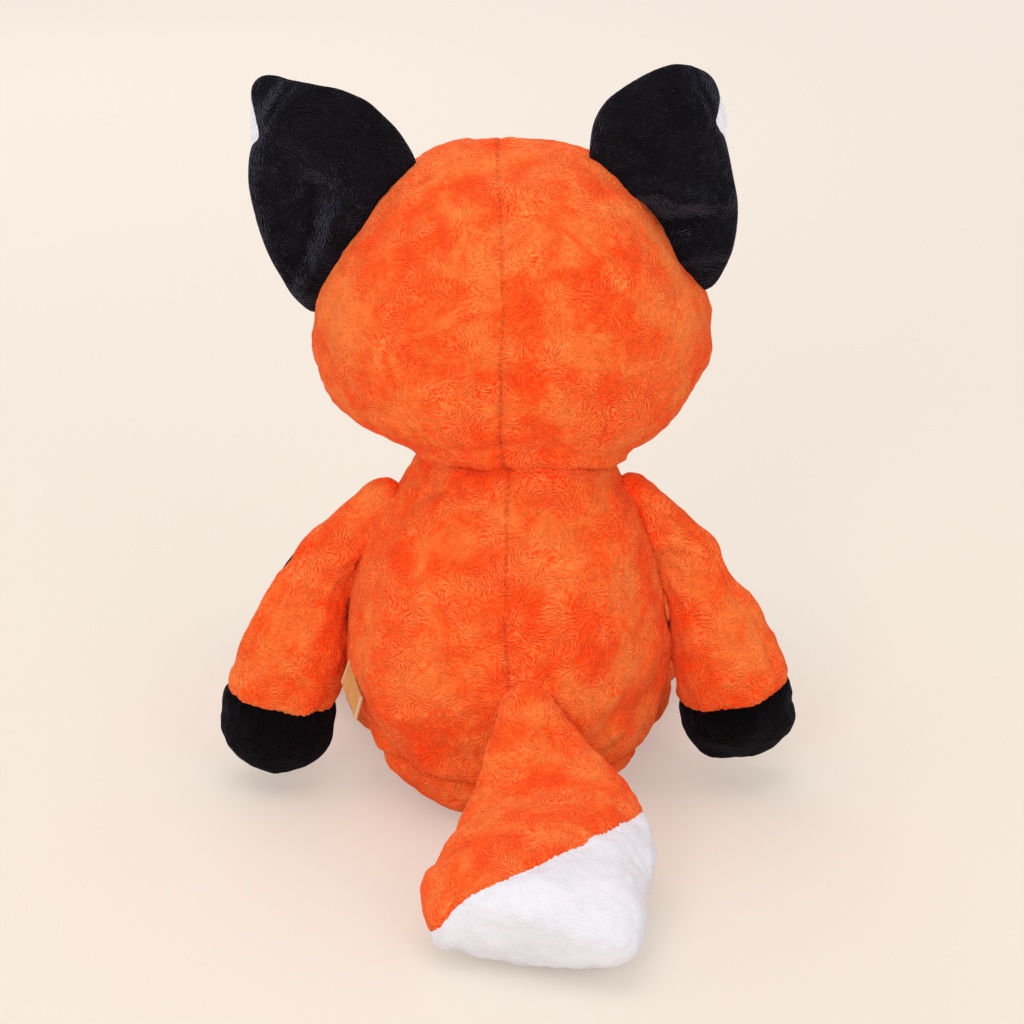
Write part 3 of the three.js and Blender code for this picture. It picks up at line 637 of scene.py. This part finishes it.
head_centre = neck_point + neck_normal * 66.5
yaw = math.radians(3)
face_rear = np.array([math.sin(yaw), math.cos(yaw), 0])
face_left = np.array([math.cos(yaw), -math.sin(yaw), 0])
head_height, head_width, head_depth = 151, 185, 160
below_centre = 0.47
head_chin = head_centre - np.array([0, 0, head_height * below_centre])
head_form = {
    "spine": [head_chin + [0, 0, share * head_height] for share in (0, 0.5, 1)], "depth_side": face_rear,
    "width": head_width, "depth": head_depth, "widths": [1, 1], "depths": [1, 1],
    "start": below_centre, "start_power": 2.25, "end": 1 - below_centre,
}
cheek_tilt = math.radians(60)
cheek_normal = -face_rear * math.cos(cheek_tilt) - np.array([0, 0, math.sin(cheek_tilt)])
cheek_point = head_centre + cheek_normal * 45.3
head_folds = [
    (line_on(head_form, [(0.13, 64), (0.19, 62), (0.28, 59)]), 1.5, 1.7),
    (line_on(head_form, [(0.17, 120), (0.22, 121), (0.30, 122)]), 1.5, 1.7),
    (line_on(head_form, [(0.43, 92), (0.40, 94), (0.36, 91)]), 1.8, 1.0),
]


def head_held(bare):
    """The head's cloth is held along its seams and at the neck."""
    over_neck = (bare - neck_point) @ neck_normal
    away = [np.abs((bare - head_centre) @ face_left), np.abs((bare - cheek_point) @ cheek_normal),
            np.abs(over_neck)]
    return np.where(over_neck < 0, 1, np.exp(-(np.min(away, axis=0) / 4) ** 2))


head_bag = filled_cloth(head_form, head_held)
head_shift = np.array([2.3, 0, 0])
up = np.array([0, 0, 1.0])
head_nudges = [
    (head_centre + 75 * up, face_left * 3.5, 45), (head_centre + face_rear * 80, face_left * -1.4, 40),
    (head_centre + 76 * up, 1.8 * up, 22),
    (head_centre + 74 * face_left + 42 * up, -8.5 * face_left - 7.7 * up, 42),
    (head_centre - 76 * face_left + 38 * up, 6 * face_left - 5 * up, 38),
    (head_centre + 80 * face_left - 45 * up, -1.6 * face_left + 0.8 * up, 28),
    (head_centre - 80 * face_left - 42 * up, 2.5 * face_left + 1.3 * up, 32),
]


def head_surface(units):
    """The stuffed head, with its centre and cheek seams, and its lower edge rolled in to the neck."""
    waves = [(1.1, 75, 13), (0.4, 24, 14), (0.15, 6, 15, 40)]
    bare, normals, rise = stuffed(head_form, units, waves, head_folds)
    middle = (bare - head_centre) @ face_left
    to_cheek = along_fabric((bare - cheek_point) @ cheek_normal, normals, cheek_normal)
    low = 1 + 0.9 * smooth_rise(-bare[:, 2], -222, -205)
    # Painted shade: the two darts start the seam gap low, so the pile darkens them like seams.
    darts = np.min([line_distance(bare, line)[0] for line, _, _ in head_folds[:2]], axis=0)
    dip, gap, run = sewn([
        (middle, ring_run(bare, head_centre, face_left, 78), 31, 1, 0.9 * low, 1.6, 0.25),
        (to_cheek, ring_run(bare, cheek_point, cheek_normal, 70), 32, 1, 2.0, 2.2, 0.4),
    ], 0.5 + darts)
    rise += dip
    places = bare + normals * rise[:, None] + swelling(head_bag, units)
    z = bare[:, 2]
    seam_line = np.exp(-(middle / 15) ** 2)
    wander = 0.6 * np.sin(z / 15) + 0.4 * np.sin(z / 6.1 + 2)
    places += face_left * (wander * seam_line)[:, None]
    above = (bare - neck_point) @ neck_normal
    roll = 1 - smooth_rise(above, 0, 13)
    centre = neck_point + neck_normal * above[:, None]
    outward = places - centre
    reach = np.linalg.norm(outward, axis=1)
    collar = np.minimum(reach, 46 + 2.5 * np.abs(outward[:, 0]) / np.maximum(reach, 1))
    places = centre + outward * (1 + (collar / np.maximum(reach, 1) - 1) * roll ** 2)[:, None]
    places -= neck_normal * (3 * np.exp(-(above / 4) ** 2) * smooth_rise(reach, 30, neck_radius))[:, None]
    places = nudged(places, bare, head_nudges) + head_shift
    places[:, 0] -= 6.3 * (1 - smooth_rise(above, 0, 28)) * (1 - seam_line)
    return places, gap, run


head_ball = drawn_ball(head_form, 7)
above_neck = (neck_point + 0.1 * neck_normal, -neck_normal)
for side, out in (("left", 1), ("right", -1)):
    half = (head_centre, -out * face_left)
    for name, cut, fabric, slot in [
        (f"head_panel_{side}", (cheek_point, cheek_normal), orange_pile, "orange_pile"),
        (f"cheek_{side}", (cheek_point, -cheek_normal), white_pile, "white_pile"),
    ]:
        panel = finish_panel("plush_" + name, cut_panel(head_ball, [above_neck, half, cut]), head_surface,
                             fabric)
        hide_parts(name)
        if name == "head_panel_left":
            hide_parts("head_filling")
        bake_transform(panel)
head_ball.free()


# Muzzle: a small white stuffed cup sewn to the face round its open end. A short seam draws it in down
# the middle below the nose.

def surface_at(form, share, degrees):
    """Place and outward direction at one spot of a form."""
    step = 1 / 300
    point = on_form(form, share, degrees)[0]
    onward = on_form(form, share + step, degrees)[0] - point
    around = on_form(form, share, degrees + math.degrees(step))[0] - point
    normal = np.cross(around, onward)
    return point, normal / np.linalg.norm(normal)


muzzle_root = surface_at(head_form, below_centre - 22 / head_height, -90)[0] + head_shift
muzzle_tilt = math.radians(6)
muzzle_run = -face_rear * math.cos(muzzle_tilt) - np.array([0, 0, math.sin(muzzle_tilt)])
muzzle_form = {
    "spine": [muzzle_root + muzzle_run * share * 76 for share in (-0.5, 0, 0.5)], "depth_side": (0, 0, 1),
    "width": 62, "depth": 46, "widths": [1, 1, 0.96, 0.82, 0.66], "depths": [1, 1, 0.96, 0.82, 0.66],
    "start": 0.2, "end": 0.4,
}


def muzzle_surface(units):
    """The stuffed muzzle, drawn in a little where it is sewn on and down the middle below the nose."""
    bare, normals, rise = stuffed(muzzle_form, units, [(0.6, 26, 43), (0.2, 5.5, 44, 40)])
    onward = (bare - muzzle_root) @ muzzle_run
    middle = (bare - muzzle_root) @ face_left
    low = smooth_rise(-(bare - muzzle_root)[:, 2], 2, 12) * smooth_rise(onward, 14, 24)
    rise -= 2.2 * low * np.exp(-np.abs(middle) / 2.4)
    rise -= 2.0 * np.exp(-(onward / 5) ** 2)
    # The line down the middle below the nose gets a seam gap near zero, so the pile paints seam shade along
    # it.
    return bare + normals * rise[:, None], 50 - 50 * low * np.exp(-(middle / 0.5) ** 2), middle * 0


muzzle = finish_panel("plush_muzzle", cut_panel(drawn_ball(muzzle_form, 6), []), muzzle_surface,
                      white_pile)
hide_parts("muzzle", "muzzle_filling")
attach(muzzle, "head")


# Nose and eyes: domed studs of moulded black plastic, pushed through the fabric and held by a
# washer inside. The nose is wider at the top than at the bottom.

def moulded_plastic(name, colour, roughness):
    """Injection-moulded plastic: even and glossy, with only a very faint ripple from the mould."""
    material, tree = blank_material(name)
    place = node(tree, "TexCoord").outputs["Object"]
    ripple = node(tree, "TexNoise", {"Vector": place, "Scale": 220.0, "Detail": 1.0})
    face = node(tree, "Bump", {"Strength": 0.08, "Distance": 0.0004, "Height": ripple})
    shader = node(tree, "BsdfPrincipled", {
        "Base Color": tone(colour), "Roughness": roughness, "IOR": 1.49, "Normal": face,
    })
    node(tree, "OutputMaterial", {0: shader})
    return material


black_plastic = moulded_plastic("black moulded plastic", "#0b0a0a", 0.12)
washer_plastic = moulded_plastic("white moulded plastic", "#e8e8e2", 0.4)


def stud(name, place, normal, half_width, bulge, half_height, narrowing, node_name):
    """A dome on a short straight rim, sunk a little into the pile round it."""
    made = bmesh.new()
    bmesh.ops.create_uvsphere(made, u_segments=48, v_segments=24, radius=1)
    side = np.cross((0, 0, 1), normal)
    side /= np.linalg.norm(side)
    top = np.cross(normal, side)
    for corner in made.verts:
        x, y, z = corner.co
        narrow = 1 + narrowing * y
        deep = bulge * z if z > 0 else bulge * 0.45 * z
        spot = place + side * (x * half_width * narrow) + top * (y * half_height) + normal * (deep - 0.4)
        corner.co = spot * mm
    face_outwards(made)
    for face in made.faces:
        face.smooth = True
    piece = placed(name, made, black_plastic)
    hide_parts(node_name)
    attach(piece, "head")


nose_place, nose_normal = surface_at(muzzle_form, 0.93, 90)
stud("stud_nose", nose_place, nose_normal, 11, 7, 7.5, 0.25, "nose")
for side, out in (("left", 1), ("right", -1)):
    eye_place, eye_normal = surface_at(head_form, 0.47, -90 + out * 26)
    stud(f"stud_eye_{side}", eye_place + head_shift, eye_normal, 7.5, 6, 7.5, 0, f"eye_{side}")
for name in ("nose_washer", "eye_washer_left", "eye_washer_right"):
    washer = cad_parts[name]
    washer.data.materials.clear()
    washer.data.materials.append(washer_plastic)


# Ears: a black back and a white front sewn round the rim and turned, with no filling. Each is a limp
# double leaf with a soft rim. Its tip folds forward, and the white front shows at the notch of the fold.

ear_plans = {
    "left": {
        "root": (0.715, 0.45), "out": 1, "centre": (18, 20), "seed": 51,
        "rim": [
            (-22.8, 33.1), (-16.3, 45.7), (-9.3, 53.2), (-0.5, 60.8), (10.5, 65.6), (22.9, 68.1),
            (34.9, 69.8), (44.8, 70.8), (50.2, 67.4), (51.8, 61.5),
        ],
        "notch": [(50.3, 53.9), (48.4, 44.9)], "whole": [(52.4, 53.5), (52.2, 46)],
        "base": [
            (51.9, 38.1), (53.2, 25.3), (51.4, 12.5), (47.3, -2.3), (41.8, -16.2), (35.3, -27.8),
            (25.5, -37.1), (13, -34), (-9, -11), (-25, 17),
        ],
        "fold": [(48.6, 44.5), (38.3, 59.0)],
        "swells": [
            ([(43, -6), (43, 14), (42, 32)], 10, 2.5), ([(24, 22), (25, 7), (28, -8)], 7, -4.5),
            ([(28, -25), (19, -6), (13, 8), (2, 18)], 7, 3.5), ([(-6, 36), (12, 46), (30, 50)], 12, 2.0),
        ],
    },
    "right": {
        "root": (0.69, 0.51), "out": -1, "centre": (4, 20), "seed": 61,
        "rim": [
            (-30.4, 30.1), (-28.4, 46.8), (-22.8, 57.1), (-15.8, 63.0), (-8.8, 67.5), (-0.5, 71.6),
            (7.7, 73.9), (16.5, 72.2), (23.6, 67.4), (27.3, 59.9),
        ],
        "notch": [(27.3, 53.7), (26.4, 49.0)], "whole": [(29.8, 53.5), (31.2, 48)],
        "base": [
            (30.5, 39.8), (34.0, 25.0), (36.6, 11.4), (36.0, -2.4), (32.0, -17.2), (24.2, -28.4),
            (10, -27), (-13, -9), (-32, 14),
        ],
        "fold": [(25.8, 49.6), (17.5, 66.4)],
        "swells": [
            ([(-14, 14), (-2, 19), (14, 15), (30, 14)], 6, 3.5), ([(-8, 8), (4, 2), (18, 4)], 6, -4.5),
            ([(8, -14), (20, -8), (34, -6)], 8, 2.5), ([(-18, 40), (-4, 50), (12, 56)], 12, 2.0),
        ],
    },
}


# Painted light: the ears get a lighter copy of the black pile, painted as lit, since the ears face the lamps
# and the paws hang in shade.
lit_black_pile = pile_fabric("black minky pile, painted lit", "#060506", "#09080a", "#0d0c10", "#1a191f",
                            "#030303", 0.55, 0.4, "#9c9cb8", 0.5)


def ear_form(plan):
    """An ear's root on the head, and the axes of the plane that its outline is drawn in."""
    across, rise = plan["root"]
    aside = face_left * plan["out"]
    root = head_centre + aside * across * head_width / 2 + face_rear * 5
    root = root + np.array([0, 0, rise * (1 - below_centre) * head_height])
    return {"root": root, "aside": aside}


def rim_reach(stops, centre, turns):
    """How far a drawn closed outline lies from its centre in each direction."""
    loop = stops[-1:] + stops + stops[:2]
    shares = np.linspace(1, len(stops) + 1, 600) / (len(stops) + 2)
    drawn = curve_through(loop, shares, True) - np.array(centre, float)
    angles = np.arctan2(drawn[:, 1], drawn[:, 0])
    return np.interp(turns, *(column[np.argsort(angles)] for column in (angles, np.hypot(*drawn.T))),
                     period=2 * math.pi)


def ear_surface(plan, form, half):
    """One leaf of an ear, a thin closed pillow whose inner side lies against the other leaf."""
    stops = plan["rim"] + plan["whole" if half > 0 else "notch"] + plan["base"]
    seed = plan["seed"]
    centre = np.array(plan["centre"], float)
    hinge, hinge_end = (np.array(stop, float) for stop in plan["fold"])
    beyond = np.array([(hinge_end - hinge)[1], -(hinge_end - hinge)[0]]) / np.linalg.norm(hinge_end - hinge)

    def surface(units):
        share = np.sqrt(np.maximum(0, 1 - np.abs(units[:, 2])))
        turns = np.arctan2(units[:, 1], units[:, 0])
        reach = rim_reach(stops, centre, turns)
        ways = np.stack([np.cos(turns), np.sin(turns)], 1)
        flat = centre + ways * (share * reach)[:, None]
        thick = 2.1 * np.sqrt(np.maximum(0, 1 - share ** 8))
        outer = units[:, 2] * half > 0
        deep = np.where(outer, thick, 0.12) * half
        spots = np.column_stack([flat, np.zeros(len(flat))])
        bend = 4.0 * share ** 2 - 0.7 * ripples(spots, 40, seed) - 0.25 * ripples(spots, 13, seed + 1)
        bend -= np.where(outer, 0.12 * ripples(spots, 5, seed + 2, 40), 0)
        for line, width, height in plan["swells"]:
            line = curve_through(line, np.linspace(0, 1, 20), True)
            bend -= 1.5 * height * np.exp(-(line_distance(flat, line)[0] / width) ** 2)
        folded = (flat - hinge) @ beyond
        bend += 6.0 * smooth_rise(folded, -0.5, 8)
        bend += 1.6 * np.exp(-(folded / 1.6) ** 2) * smooth_rise(share, 0.5, 0.8)
        places = form["root"] + form["aside"] * flat[:, :1] + np.outer(flat[:, 1], [0, 0, 1])
        places = places - face_rear * (deep + bend)[:, None]
        return places, np.full(len(flat), 50.0), np.zeros(len(flat))

    return surface


for side, plan in ear_plans.items():
    form = ear_form(plan)
    for part, half, fabric, slot in [
        ("front", 1, white_pile, "white_pile"), ("back", -1, lit_black_pile, "black_pile"),
    ]:
        panel = finish_panel(f"plush_ear_{part}_{side}", drawn_ball(form, 6, flat=True),
                             ear_surface(plan, form, half), fabric)
        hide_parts(f"ear_{part}_{side}")
        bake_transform(panel)


# Arms: orange sleeves that widen down to a black paw, each with a seam down its outer side, stuffed
# softly at the shoulder and firmly at the paw, and hanging from the shoulder seam.

def limb_form(root, ball, knots, **shape):
    """A form that starts one ball's radius behind its root and runs out through its knots."""
    outward = knots[0] - root
    outward = outward / np.linalg.norm(outward)
    spine = [root - outward * ball, root, *knots]
    start = ball / spine_places(spine, np.array([0.0]))[2]
    return {"spine": spine, "root": root, "outward": outward, "ball": ball, "start": start, **shape}


def limb_surface(form, seam, seams, folds, seed, nudges, cloth_share=0.7):
    """A stuffed limb with its end seam, its long seams and its folds, flattened where it lies down."""
    point, normal, depth = seam
    lines = [line_on(form, stops) for stops in seams]
    folds = [(line_on(form, stops), width, sink) for stops, width, sink in folds]

    def held(bare):
        from_root = np.maximum(0, np.linalg.norm(bare - form["root"], axis=1) - form["ball"])
        by_root = 1 - smooth_rise(from_root, 0, 26)
        return np.maximum(by_root, np.exp(-((bare - point) @ normal / 4) ** 2))

    bag = filled_cloth(form, held)

    def surface(units):
        waves = [(0.7, 38, seed), (0.3, 15, seed + 1), (0.15, 6, seed + 2, 40)]
        bare, normals, rise = stuffed(form, units, waves, folds)
        distance = along_fabric((bare - point) @ normal, normals, normal)
        rise += seam_dip(distance, ring_run(bare, point, normal, 28), seed + 3, depth, 2.0, 0.45)
        gap = np.abs(distance) + 0.5
        for line in lines:
            away, walked, _ = line_distance(bare, line)
            rise += seam_dip(away, walked, seed + 5, 0.9, 1.5, 0.3)
            gap = np.minimum(gap, away + 0.5)
        places = bare + normals * rise[:, None] + cloth_share * swelling(bag, units)
        edge = 0.2 * ripples(bare, 2.4, seed + 6, 60) + 0.3 * ripples(bare, 22, seed + 7)
        places += normal * (edge * np.exp(-(distance / 5) ** 2))[:, None]
        places = nudged(places, bare, nudges)
        places[:, 2] = np.maximum(places[:, 2], 0.5 + 0.3 * smooth_rise(bare[:, 2], 0, 2))
        return places, gap, np.zeros(len(bare))

    return surface


def cover_and_end(whole, spot, way, surface, cover_name, end_name, end_fabric):
    """A limb's orange cover, up to its end seam, and the piece that is sewn on there."""
    cover = finish_panel("plush_" + cover_name, cut_panel(whole, [(spot, way)]), surface,
                         orange_pile)
    end = finish_panel("plush_" + end_name, cut_panel(whole, [(spot, -way)]), surface, end_fabric)
    whole.free()
    return cover, end


arm_plans = {
    "left": {
        "length": 150, "out": 1, "seed": 71,
        "knots": [
            (0.075, 0, -0.08), (0.165, -0.005, -0.19), (0.245, -0.01, -0.355),
            (0.3, -0.015, -0.53), (0.34, -0.02, -0.7), (0.37, -0.02, -0.925),
        ],
        "seams": [[(0.20, 130), (0.36, 137), (0.55, 143), (0.75, 146)]],
        "folds": [
            ([(0.10, 60), (0.16, 75), (0.22, 95)], 2.6, 1.2),
            ([(0.20, 20), (0.27, 45), (0.32, 75)], 2.6, 1.0),
        ],
        "nudges": [
            ((89, 0, 129), (-2.2, 0, -0.5), 22), ((81, 0, 37), (2.7, 0, 0), 14),
            ((112, 0, 93), (-3, 0, -1), 20),
        ],
    },
    "right": {
        "length": 147, "out": -1, "seed": 81,
        "knots": [
            (0.07, 0, -0.085), (0.15, -0.005, -0.2), (0.225, -0.01, -0.36),
            (0.285, -0.015, -0.53), (0.335, -0.02, -0.7), (0.37, -0.02, -0.925),
        ],
        "seams": [[(0.20, 38), (0.36, 36), (0.55, 34), (0.75, 33)]],
        "folds": [
            ([(0.23, 140), (0.235, 110), (0.262, 78)], 2.4, 2.0),
            ([(0.15, 110), (0.18, 90), (0.20, 70)], 2.4, 0.9),
        ],
        "nudges": [
            ((-134, 5, 44), (2, 0, 0), 18), ((-106, 13, 16), (0, -4, 3), 20),
            ((-130, 8, 16), (3.5, 0, 2), 16),
        ],
    },
}
shoulder_height, shoulder_radius = 145.0, 10
arm_width, arm_depth = 55, 46
for side, plan in arm_plans.items():
    out = plan["out"]
    root = surface_at(body_form, (shoulder_height + 0.5) / body_length, 0 if out > 0 else 180)[0]
    root = np.array([root[0] + out, root[1], shoulder_height])
    knots = [root + plan["length"] * np.array([out * a, b, c]) for a, b, c in plan["knots"]]
    form = limb_form(root, shoulder_radius, knots, depth_side=(0, 1, 0), width=arm_width, depth=arm_depth,
                     widths=[2 * shoulder_radius / arm_width, 0.4, 0.55, 0.69, 0.855, 0.955, 1, 0.98],
                     depths=[2 * shoulder_radius / arm_depth, 0.45, 0.57, 0.7, 0.83, 0.95, 1, 0.98],
                     end=0.17)
    spot, way, _ = spine_places(form["spine"], np.array([0.76]))
    surface = limb_surface(form, (spot[0], way[0], 1.4), plan["seams"], plan["folds"], plan["seed"],
                           plan["nudges"])
    cover, paw = cover_and_end(drawn_ball(form, 6), spot[0], way[0], surface,
                               f"arm_{side}", f"paw_{side}", black_pile)
    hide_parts(f"arm_{side}", f"arm_filling_{side}")
    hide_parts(f"paw_{side}")
    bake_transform(cover)
    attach(paw, f"{side}_arm")


# Legs: orange covers with a black foot, stuffed firmly, lying forward on the floor from the hips. The
# left one splays out a little more than the right one.

hip_height, hip_radius = 31.2, 30
leg_length, leg_width, leg_depth = 158, 66, 67
for side, out, splay, seed in (("left", 1, 18, 91), ("right", -1, 13, 96)):
    point, normal = surface_at(body_form, (hip_height + 0.5) / body_length, -47 if out > 0 else -133)
    normal = normal * [1, 1, 0] / np.linalg.norm(normal[:2])
    root = point + normal * 9
    root[2] = hip_height
    turn = out * math.radians(splay)
    run = np.array([math.sin(turn), -math.cos(turn), 0])
    heights = [0.86, 0.74, 0.82, 0.88, 0.92, 0.98, 1]
    knots = []
    for share, height in zip([0.17, 0.34, 0.51, 0.67, 0.83, 1], heights[1:]):
        lift = max(0, leg_depth / 2 * height + 0.6 - hip_height)
        knots.append(root + run * share * leg_length + [0, 0, lift])
    form = limb_form(root, hip_radius, knots, depth_side=(0, 0, 1), width=leg_width, depth=leg_depth,
                     widths=[2 * hip_radius / leg_width, 0.91, 0.79, 0.93, 1, 1, 0.95, 0.93],
                     depths=[2 * hip_radius / leg_depth, *heights], end=0.15)
    spot, way, _ = spine_places(form["spine"], np.array([0.69]))
    seams = [[(0.22, -90), (0.45, -90), (0.69, -90)]]
    folds = [
        ([(0.20, 20), (0.24, 60), (0.26, 110)], 3.0, 1.6), ([(0.33, 40), (0.35, 80), (0.34, 130)], 3.0, 1.2),
    ]
    nudges = [((105, -185, 60), (-3, 0, -5), 35)] if out > 0 else []
    surface = limb_surface(form, (spot[0], way[0], 1.6), seams, folds, seed, nudges)
    cover, foot = cover_and_end(drawn_ball(form, 6), spot[0], way[0], surface,
                                f"leg_{side}", f"foot_{side}", black_pile)
    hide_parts(f"leg_{side}", f"leg_filling_{side}")
    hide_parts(f"foot_{side}")
    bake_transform(cover)
    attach(foot, f"{side}_leg")


# Tail: an orange brush with a white tip across a slanted seam, stuffed firmly and lying back on the
# floor from a narrow root low on the back.

tail_left = [
    (0, 60, 76), (4, 76, 66), (11, 90, 50), (18, 104, 37), (26, 121, 28), (33, 141, 24), (37, 158, 24),
    (35, 173, 22), (23.5, 183, 18),
]
tail_right = [
    (-17, 60, 76), (-25, 71, 67), (-41, 78, 50), (-54, 87, 38), (-62.5, 102, 29), (-65, 124, 25),
    (-62, 148, 24), (-57, 176, 23), (-52, 208, 17),
]
tail_halves = [10, 11.5, 14, 18, 21.5, 23, 23, 21, 17]


def tail_points(units):
    """The tail, drawn by the lines of its two sides and half its thickness between them."""
    shares = np.clip((1 - units[:, 1]) / 2, 0, 1)
    ring = np.hypot(units[:, 0], units[:, 2])
    across, upward = (units[:, axis] / np.maximum(ring, 1e-6) for axis in (0, 2))
    around = rounding(shares, 0.06, 2) * rounding(1 - shares, 0.1, 3.6) * (ring > 1e-6)
    left, right = (curve_through(side, shares, True) for side in (tail_left, tail_right))
    run = sum(curve_through(side, shares + 1e-3, True) - curve_through(side, shares - 1e-3, True)
              for side in (tail_left, tail_right))
    half_width = (right - left) / 2
    depth_side = np.cross(half_width, run)
    depth_side /= np.linalg.norm(depth_side, axis=1)[:, None]
    depth_side *= np.sign(depth_side[:, 2:])
    half_depth = curve_through(tail_halves, shares, True)[:, 0]
    return ((left + right) / 2 + half_width * (across * around)[:, None]
            + depth_side * (upward * half_depth * around)[:, None])


tail_height = 72
root = surface_at(body_form, (tail_height + 0.5) / body_length, 97)[0]
tail_form = {"drawn": tail_points, "root": root, "ball": 12}
spot = np.array([-18.6, 154.0, 39.0])
way = np.array([-0.409, 0.4, -0.821])
way /= np.linalg.norm(way)
tail_folds = [
    ([(0.36, 118), (0.40, 128), (0.46, 140)], 2.4, 1.8),
    ([(0.14, 100), (0.18, 85), (0.20, 65)], 2.4, 0.8),
]
surface = limb_surface(tail_form, (spot, way, 0.8), [], tail_folds, 101,
                       [((31, 174, 20), 9 * way, 13)], cloth_share=0.3)
cover, tip = cover_and_end(drawn_ball(tail_form, 7), spot, way, surface,
                           "tail", "tail_tip", white_pile)
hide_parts("tail", "tail_filling")
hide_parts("tail_tip")
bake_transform(cover)
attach(tip, "brush")


# Side label: a short woven ribbon folded double and caught in the left side seam. It is left bare,
# because print isn't copied.

def woven_ribbon():
    """Woven polyester ribbon: fine ribs across it, a little sheen, and paler woven edges."""
    material, tree = blank_material("woven ribbon")
    place = node(tree, "TexCoord").outputs["Object"]
    ribs = node(tree, "TexWave", {"Vector": place, "Scale": 900.0, "Distortion": 0.4},
                bands_direction="Z")
    cloud = node(tree, "TexNoise", {"Vector": place, "Scale": 300.0, "Detail": 2.0})
    edge = node(tree, "Attribute", attribute_name="ribbon_edge").outputs["Fac"]
    base = node(tree, "Mix", {0: cloud, 6: tone("#c07f38"), 7: tone("#dca564")}, data_type="RGBA")
    base = node(tree, "Mix", {0: edge, 6: base.outputs[2], 7: tone("#ecd3ae")}, data_type="RGBA")
    relief = node(tree, "Bump", {"Strength": 0.4, "Distance": 0.0002, "Height": ribs})
    shader = node(tree, "BsdfPrincipled", {
        "Base Color": base.outputs[2], "Roughness": 0.6, "Sheen Weight": 0.2, "Normal": relief,
    })
    node(tree, "OutputMaterial", {0: shader})
    return material


top = surface_at(body_form, 69.5 / body_length, 11)
low = surface_at(body_form, 55.5 / body_length, 23)
drop = np.array([0, 0, -math.cos(math.radians(22)) * 12]) + low[1] * math.sin(math.radians(22)) * 12
edge = low[0] - top[0]
face = np.cross(edge, drop)
face /= np.linalg.norm(face)
made = bmesh.new()
bmesh.ops.create_grid(made, x_segments=10, y_segments=24, size=1)
pale = made.verts.layers.float.new("ribbon_edge")
for corner in made.verts:
    across, along, _ = corner.co
    corner[pale] = 1.0 if abs(across) > 0.95 else 0.0
    turn = max(0.0, 1 - abs(along) / 0.12)
    down = 1 - 0.9 * abs(along) if abs(along) > 0.12 else 0.892 + 0.03 * math.sqrt(1 - (along / 0.12) ** 2)
    thick = 0.45 * math.copysign(1, along) * (1 if abs(along) > 0.12 else abs(along) / 0.12)
    spot = top[0] - top[1] * 0.6 + edge * (0.5 + across / 2) + drop * (down * 1.1 - 0.1)
    spot = spot + face * (thick + 0.5) + face * 0.8 * math.sin(across * 1.5 + 0.4) * down
    corner.co = spot * mm
bmesh.ops.recalc_face_normals(made, faces=made.faces[:])
for made_face in made.faces:
    made_face.smooth = True
label = placed("ribbon_label", made, woven_ribbon())
wall = label.modifiers.new("wall", "SOLIDIFY")
wall.thickness = 0.0004
wall.offset = 0
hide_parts("side_label")
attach(label, "torso")
